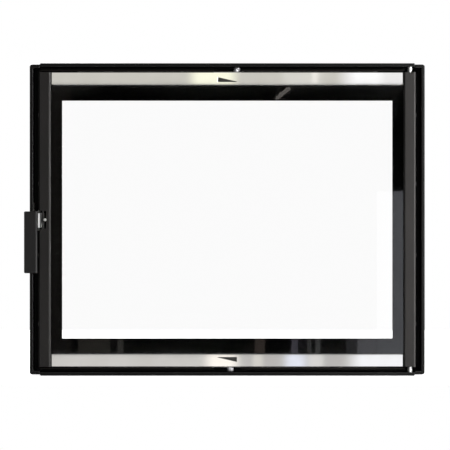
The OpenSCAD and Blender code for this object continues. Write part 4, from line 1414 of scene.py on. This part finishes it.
@dataclass
class Studio:
    """A pale board under the door, a white room, soft lamps and the camera. Sizes in metres.

    The room's level goes from one wall's to the next one's between the two ends of a reach. They
    are how far a ray points along Y for the front, and along X for the sides.
    """

    board: tuple[float, float, float, float] = (-1.6, 1.6, -0.25, 1.7)
    foot: float = -0.2503
    board_glow: float = 0.9
    board_tones: tuple[Colour, Colour] = ((0.80, 0.80, 0.79), (0.82, 0.82, 0.82))
    left_wall: float = 0.09
    right_wall: float = 0.44
    front_wall: float = 0.03
    front_reach: Pair = (-0.9945, -0.975)
    side_reach: Pair = (-0.5, 0.5)
    matt_room: float = 0.10
    lens: float = 200.0
    sight: float = 60.0
    eye: Place = (-0.0036, -4.036, -0.0088)
    lamps: tuple[Softbox, ...] = (
        Softbox("key_right", (0.85, -0.7, 0.12), (0.2, 0.0, 0.0), (0.3, 0.9), 16.8),
        Softbox("side_right", (2.4, -0.35, 0.1), CENTRE, (0.5, 1.4), 33.0),
        Softbox("top", (0.1, -0.6, 1.9), CENTRE, (1.6, 0.5), 3.5),
        Softbox("back", (-0.9, 2.0, 1.3), CENTRE, (1.2, 0.8), 60.0),
        # What the top strip shows.
        Softbox.card("wall_high", (-1.2, 1.2), (0.444, 1.25), 0.81, (1.0, 0.985, 0.92)),
        Softbox.card("warm_high", (-0.135, 0.052), OVER, 0.6, (0.97, 1.0, 0.68), 0.02, soft=0.05),
        Softbox.card("pale_high", (0.17, 0.325), OVER, 0.14, (0.93, 0.95, 1.0), 0.04, soft=0.03),
        Softbox.card("streak_high", (0.27, 0.299), OVER, 0.28, near=0.06, soft=0.01),
        Softbox.card("white_high", (0.345, 1.2), TALL, 0.47, (0.8, 0.83, 1.0), 0.02, soft=0.06),
        Softbox.card("bright_high", (0.385, 0.52), TALL, 0.24, (0.9, 0.95, 1.0), 0.04, soft=0.04),
        # What the bottom strip shows.
        Softbox.card("wall_low", (-1.2, 1.2), DEEP, 0.68, (1.0, 0.985, 0.98)),
        Softbox.card("wall_low_left", (-1.3, 0.08), DEEP, 0.14, (1.0, 0.98, 0.9), 0.06, soft=0.08),
        Softbox.card("warm_low", (-0.086, 0.059), UNDER, 0.6, (1.0, 0.92, 0.82), 0.02, soft=0.05),
        Softbox.card("beige_low", (0.076, 0.128), UNDER, 0.26, (1.0, 0.95, 0.85), 0.04, soft=0.02),
        Softbox.card("blue_low", (0.17, 0.28), UNDER, 0.62, (0.65, 0.74, 1.0), 0.02, soft=0.045),
        Softbox.card("pale_low", (0.256, 0.322), UNDER, 0.27, near=0.04, soft=0.02),
        Softbox.card("white_low", (0.366, 1.2), UNDER, 0.69, (0.86, 0.9, 1.0), 0.02, soft=0.08),
        # What the roller and the pane's border show.
        Softbox.card("strip_left", (-1.15, -0.78), (-0.35, 0.35), 5.0, near=0.02),
        Softbox.card("window_left", (-0.66, -0.5), (-0.436, 0.436), 0.05, (1.0, 0.9, 0.82)),
        Softbox.card("window_right", (0.484, 1.38), (-0.423, 0.1), 0.9, (0.9, 0.92, 1.0), 0.04),
        Softbox.card("sill_dim", (0.387, 0.484), SILL, 0.2, (0.92, 0.92, 1.0)),
        Softbox.card("sill", (0.4224, 0.484), SILL, 0.65, (0.92, 0.92, 1.0), 0.02),
        Softbox.card("shelf", (-0.477, -0.374), SILL, 0.16, (1.0, 0.93, 0.8)),
        Softbox.card("shelf_end", (-0.351, -0.332), SILL, 0.3, (1.0, 0.95, 0.88)),
        Softbox.card("stand_brown", (0.093, 0.125), SILL, 0.32, (1.0, 0.8, 0.7)),
        Softbox.card("stand_blue", (0.211, 0.232), SILL, 0.6, (0.85, 0.8, 1.0)),
        Softbox.card("stand_grey", (0.262, 0.275), SILL, 0.35),
        Softbox.card("stand_white", (0.288, 0.304), SILL, 0.5),
        Softbox.card(
            "stand_high", (0.156, 0.212), (0.4105, 0.4235), 1.3, (1.0, 0.93, 0.86), roll=41.0
        ),
    )

    def white_room(self) -> None:
        """Makes a room that is white to the eye, even for matt faces and dark for mirrors."""
        world = bpy.data.worlds.new("white_room")
        bpy.context.scene.world = world
        world.use_nodes = True
        t = Tree(world.node_tree)
        t.tree.nodes.clear()
        ray = t.add("ShaderNodeLightPath").outputs
        way = t.split(t.add("ShaderNodeTexCoord").outputs["Generated"])
        low, high = self.side_reach
        values = {"Value": way[0], "From Min": low, "From Max": high}
        walls = {"To Min": self.left_wall, "To Max": self.right_wall}
        sides = t.out("ShaderNodeMapRange", values | walls)
        low, high = self.front_reach
        values = {"Value": way[1], "From Min": low, "From Max": high}
        walls = {"To Min": self.front_wall, "To Max": 1.0}
        front = t.out("ShaderNodeMapRange", values | walls, interpolation_type="SMOOTHSTEP")
        matt = t.sum("MINIMUM", ray["Diffuse Depth"], 1.0)
        bounced = t.sum("MAXIMUM", t.sum("MINIMUM", ray["Glossy Depth"], 1.0), matt)
        level = t.out("ShaderNodeMix", {0: matt, 2: t.times(front, sides), 3: self.matt_room})
        level = t.out("ShaderNodeMix", {0: bounced, 2: 1.0, 3: level})
        shade = t.out("ShaderNodeBackground", {"Color": (*WHITE, 1.0), "Strength": level})
        t.add("ShaderNodeOutputWorld", {"Surface": shade})

    def floor(self) -> None:
        """Lays the pale board, white to the eye where no shadow falls."""
        x0, x1, y0, y1 = self.board
        corners = [(x, y, self.foot) for x, y in ((x0, y0), (x1, y0), (x1, y1), (x0, y1))]
        mesh = bpy.data.meshes.new("floor")
        mesh.from_pydata(corners, [], [(0, 1, 2, 3)])
        board = bpy.data.objects.new("floor", mesh)
        bpy.context.scene.collection.objects.link(board)
        s = Surface("pale_board")
        ray = s.add("ShaderNodeLightPath").outputs
        tone = s.blend(s.spread(s.noise(3, 3.0), 0.0, 1.0), *self.board_tones)
        matt = s.out("ShaderNodeBsdfDiffuse", {"Color": tone})
        seen = s.sum("MAXIMUM", ray["Is Camera Ray"], ray["Is Transmission Ray"])
        light = {"Color": (*WHITE, 1.0), "Strength": s.times(seen, self.board_glow)}
        both = s.out("ShaderNodeAddShader", {0: matt, 1: s.out("ShaderNodeEmission", light)})
        s.add("ShaderNodeOutputMaterial", {"Surface": both})
        mesh.materials.append(s.material)

    def camera(self) -> None:
        """Sets the camera square in front, far enough off for a flat view."""
        data = bpy.data.cameras.new("camera")
        data.lens = self.lens
        data.clip_end = self.sight
        camera = bpy.data.objects.new("camera", data)
        bpy.context.scene.collection.objects.link(camera)
        camera.location = self.eye
        camera.rotation_euler = (math.radians(90), 0.0, 0.0)
        bpy.context.scene.camera = camera

    def build(self) -> None:
        """Sets up the whole studio."""
        bpy.context.scene.view_settings.view_transform = "Standard"
        self.white_room()
        self.floor()
        for lamp in self.lamps:
            lamp.hang()
        self.camera()


def main() -> None:
    """Builds the studio and the door's sub-assemblies in order, and reports each piece."""
    logging.basicConfig(level=logging.INFO, format="%(name)s: %(message)s")
    Studio().build()
    groups = [OuterFrame("frame"), DoorSeal("frame"), Hinges("leaf"), LeafShell("leaf")]
    groups += [Glazing("leaf"), Trims("leaf"), Catch("handle"), AirSlide("top_slide")]
    groups.append(AirSlide("bottom_slide", end="bottom", knob_x=4.9))
    for group in groups:
        group.build()
        LOG.info("%s: %d pieces", type(group).__name__, len(group.made))


if __name__ == "__main__":
    main()
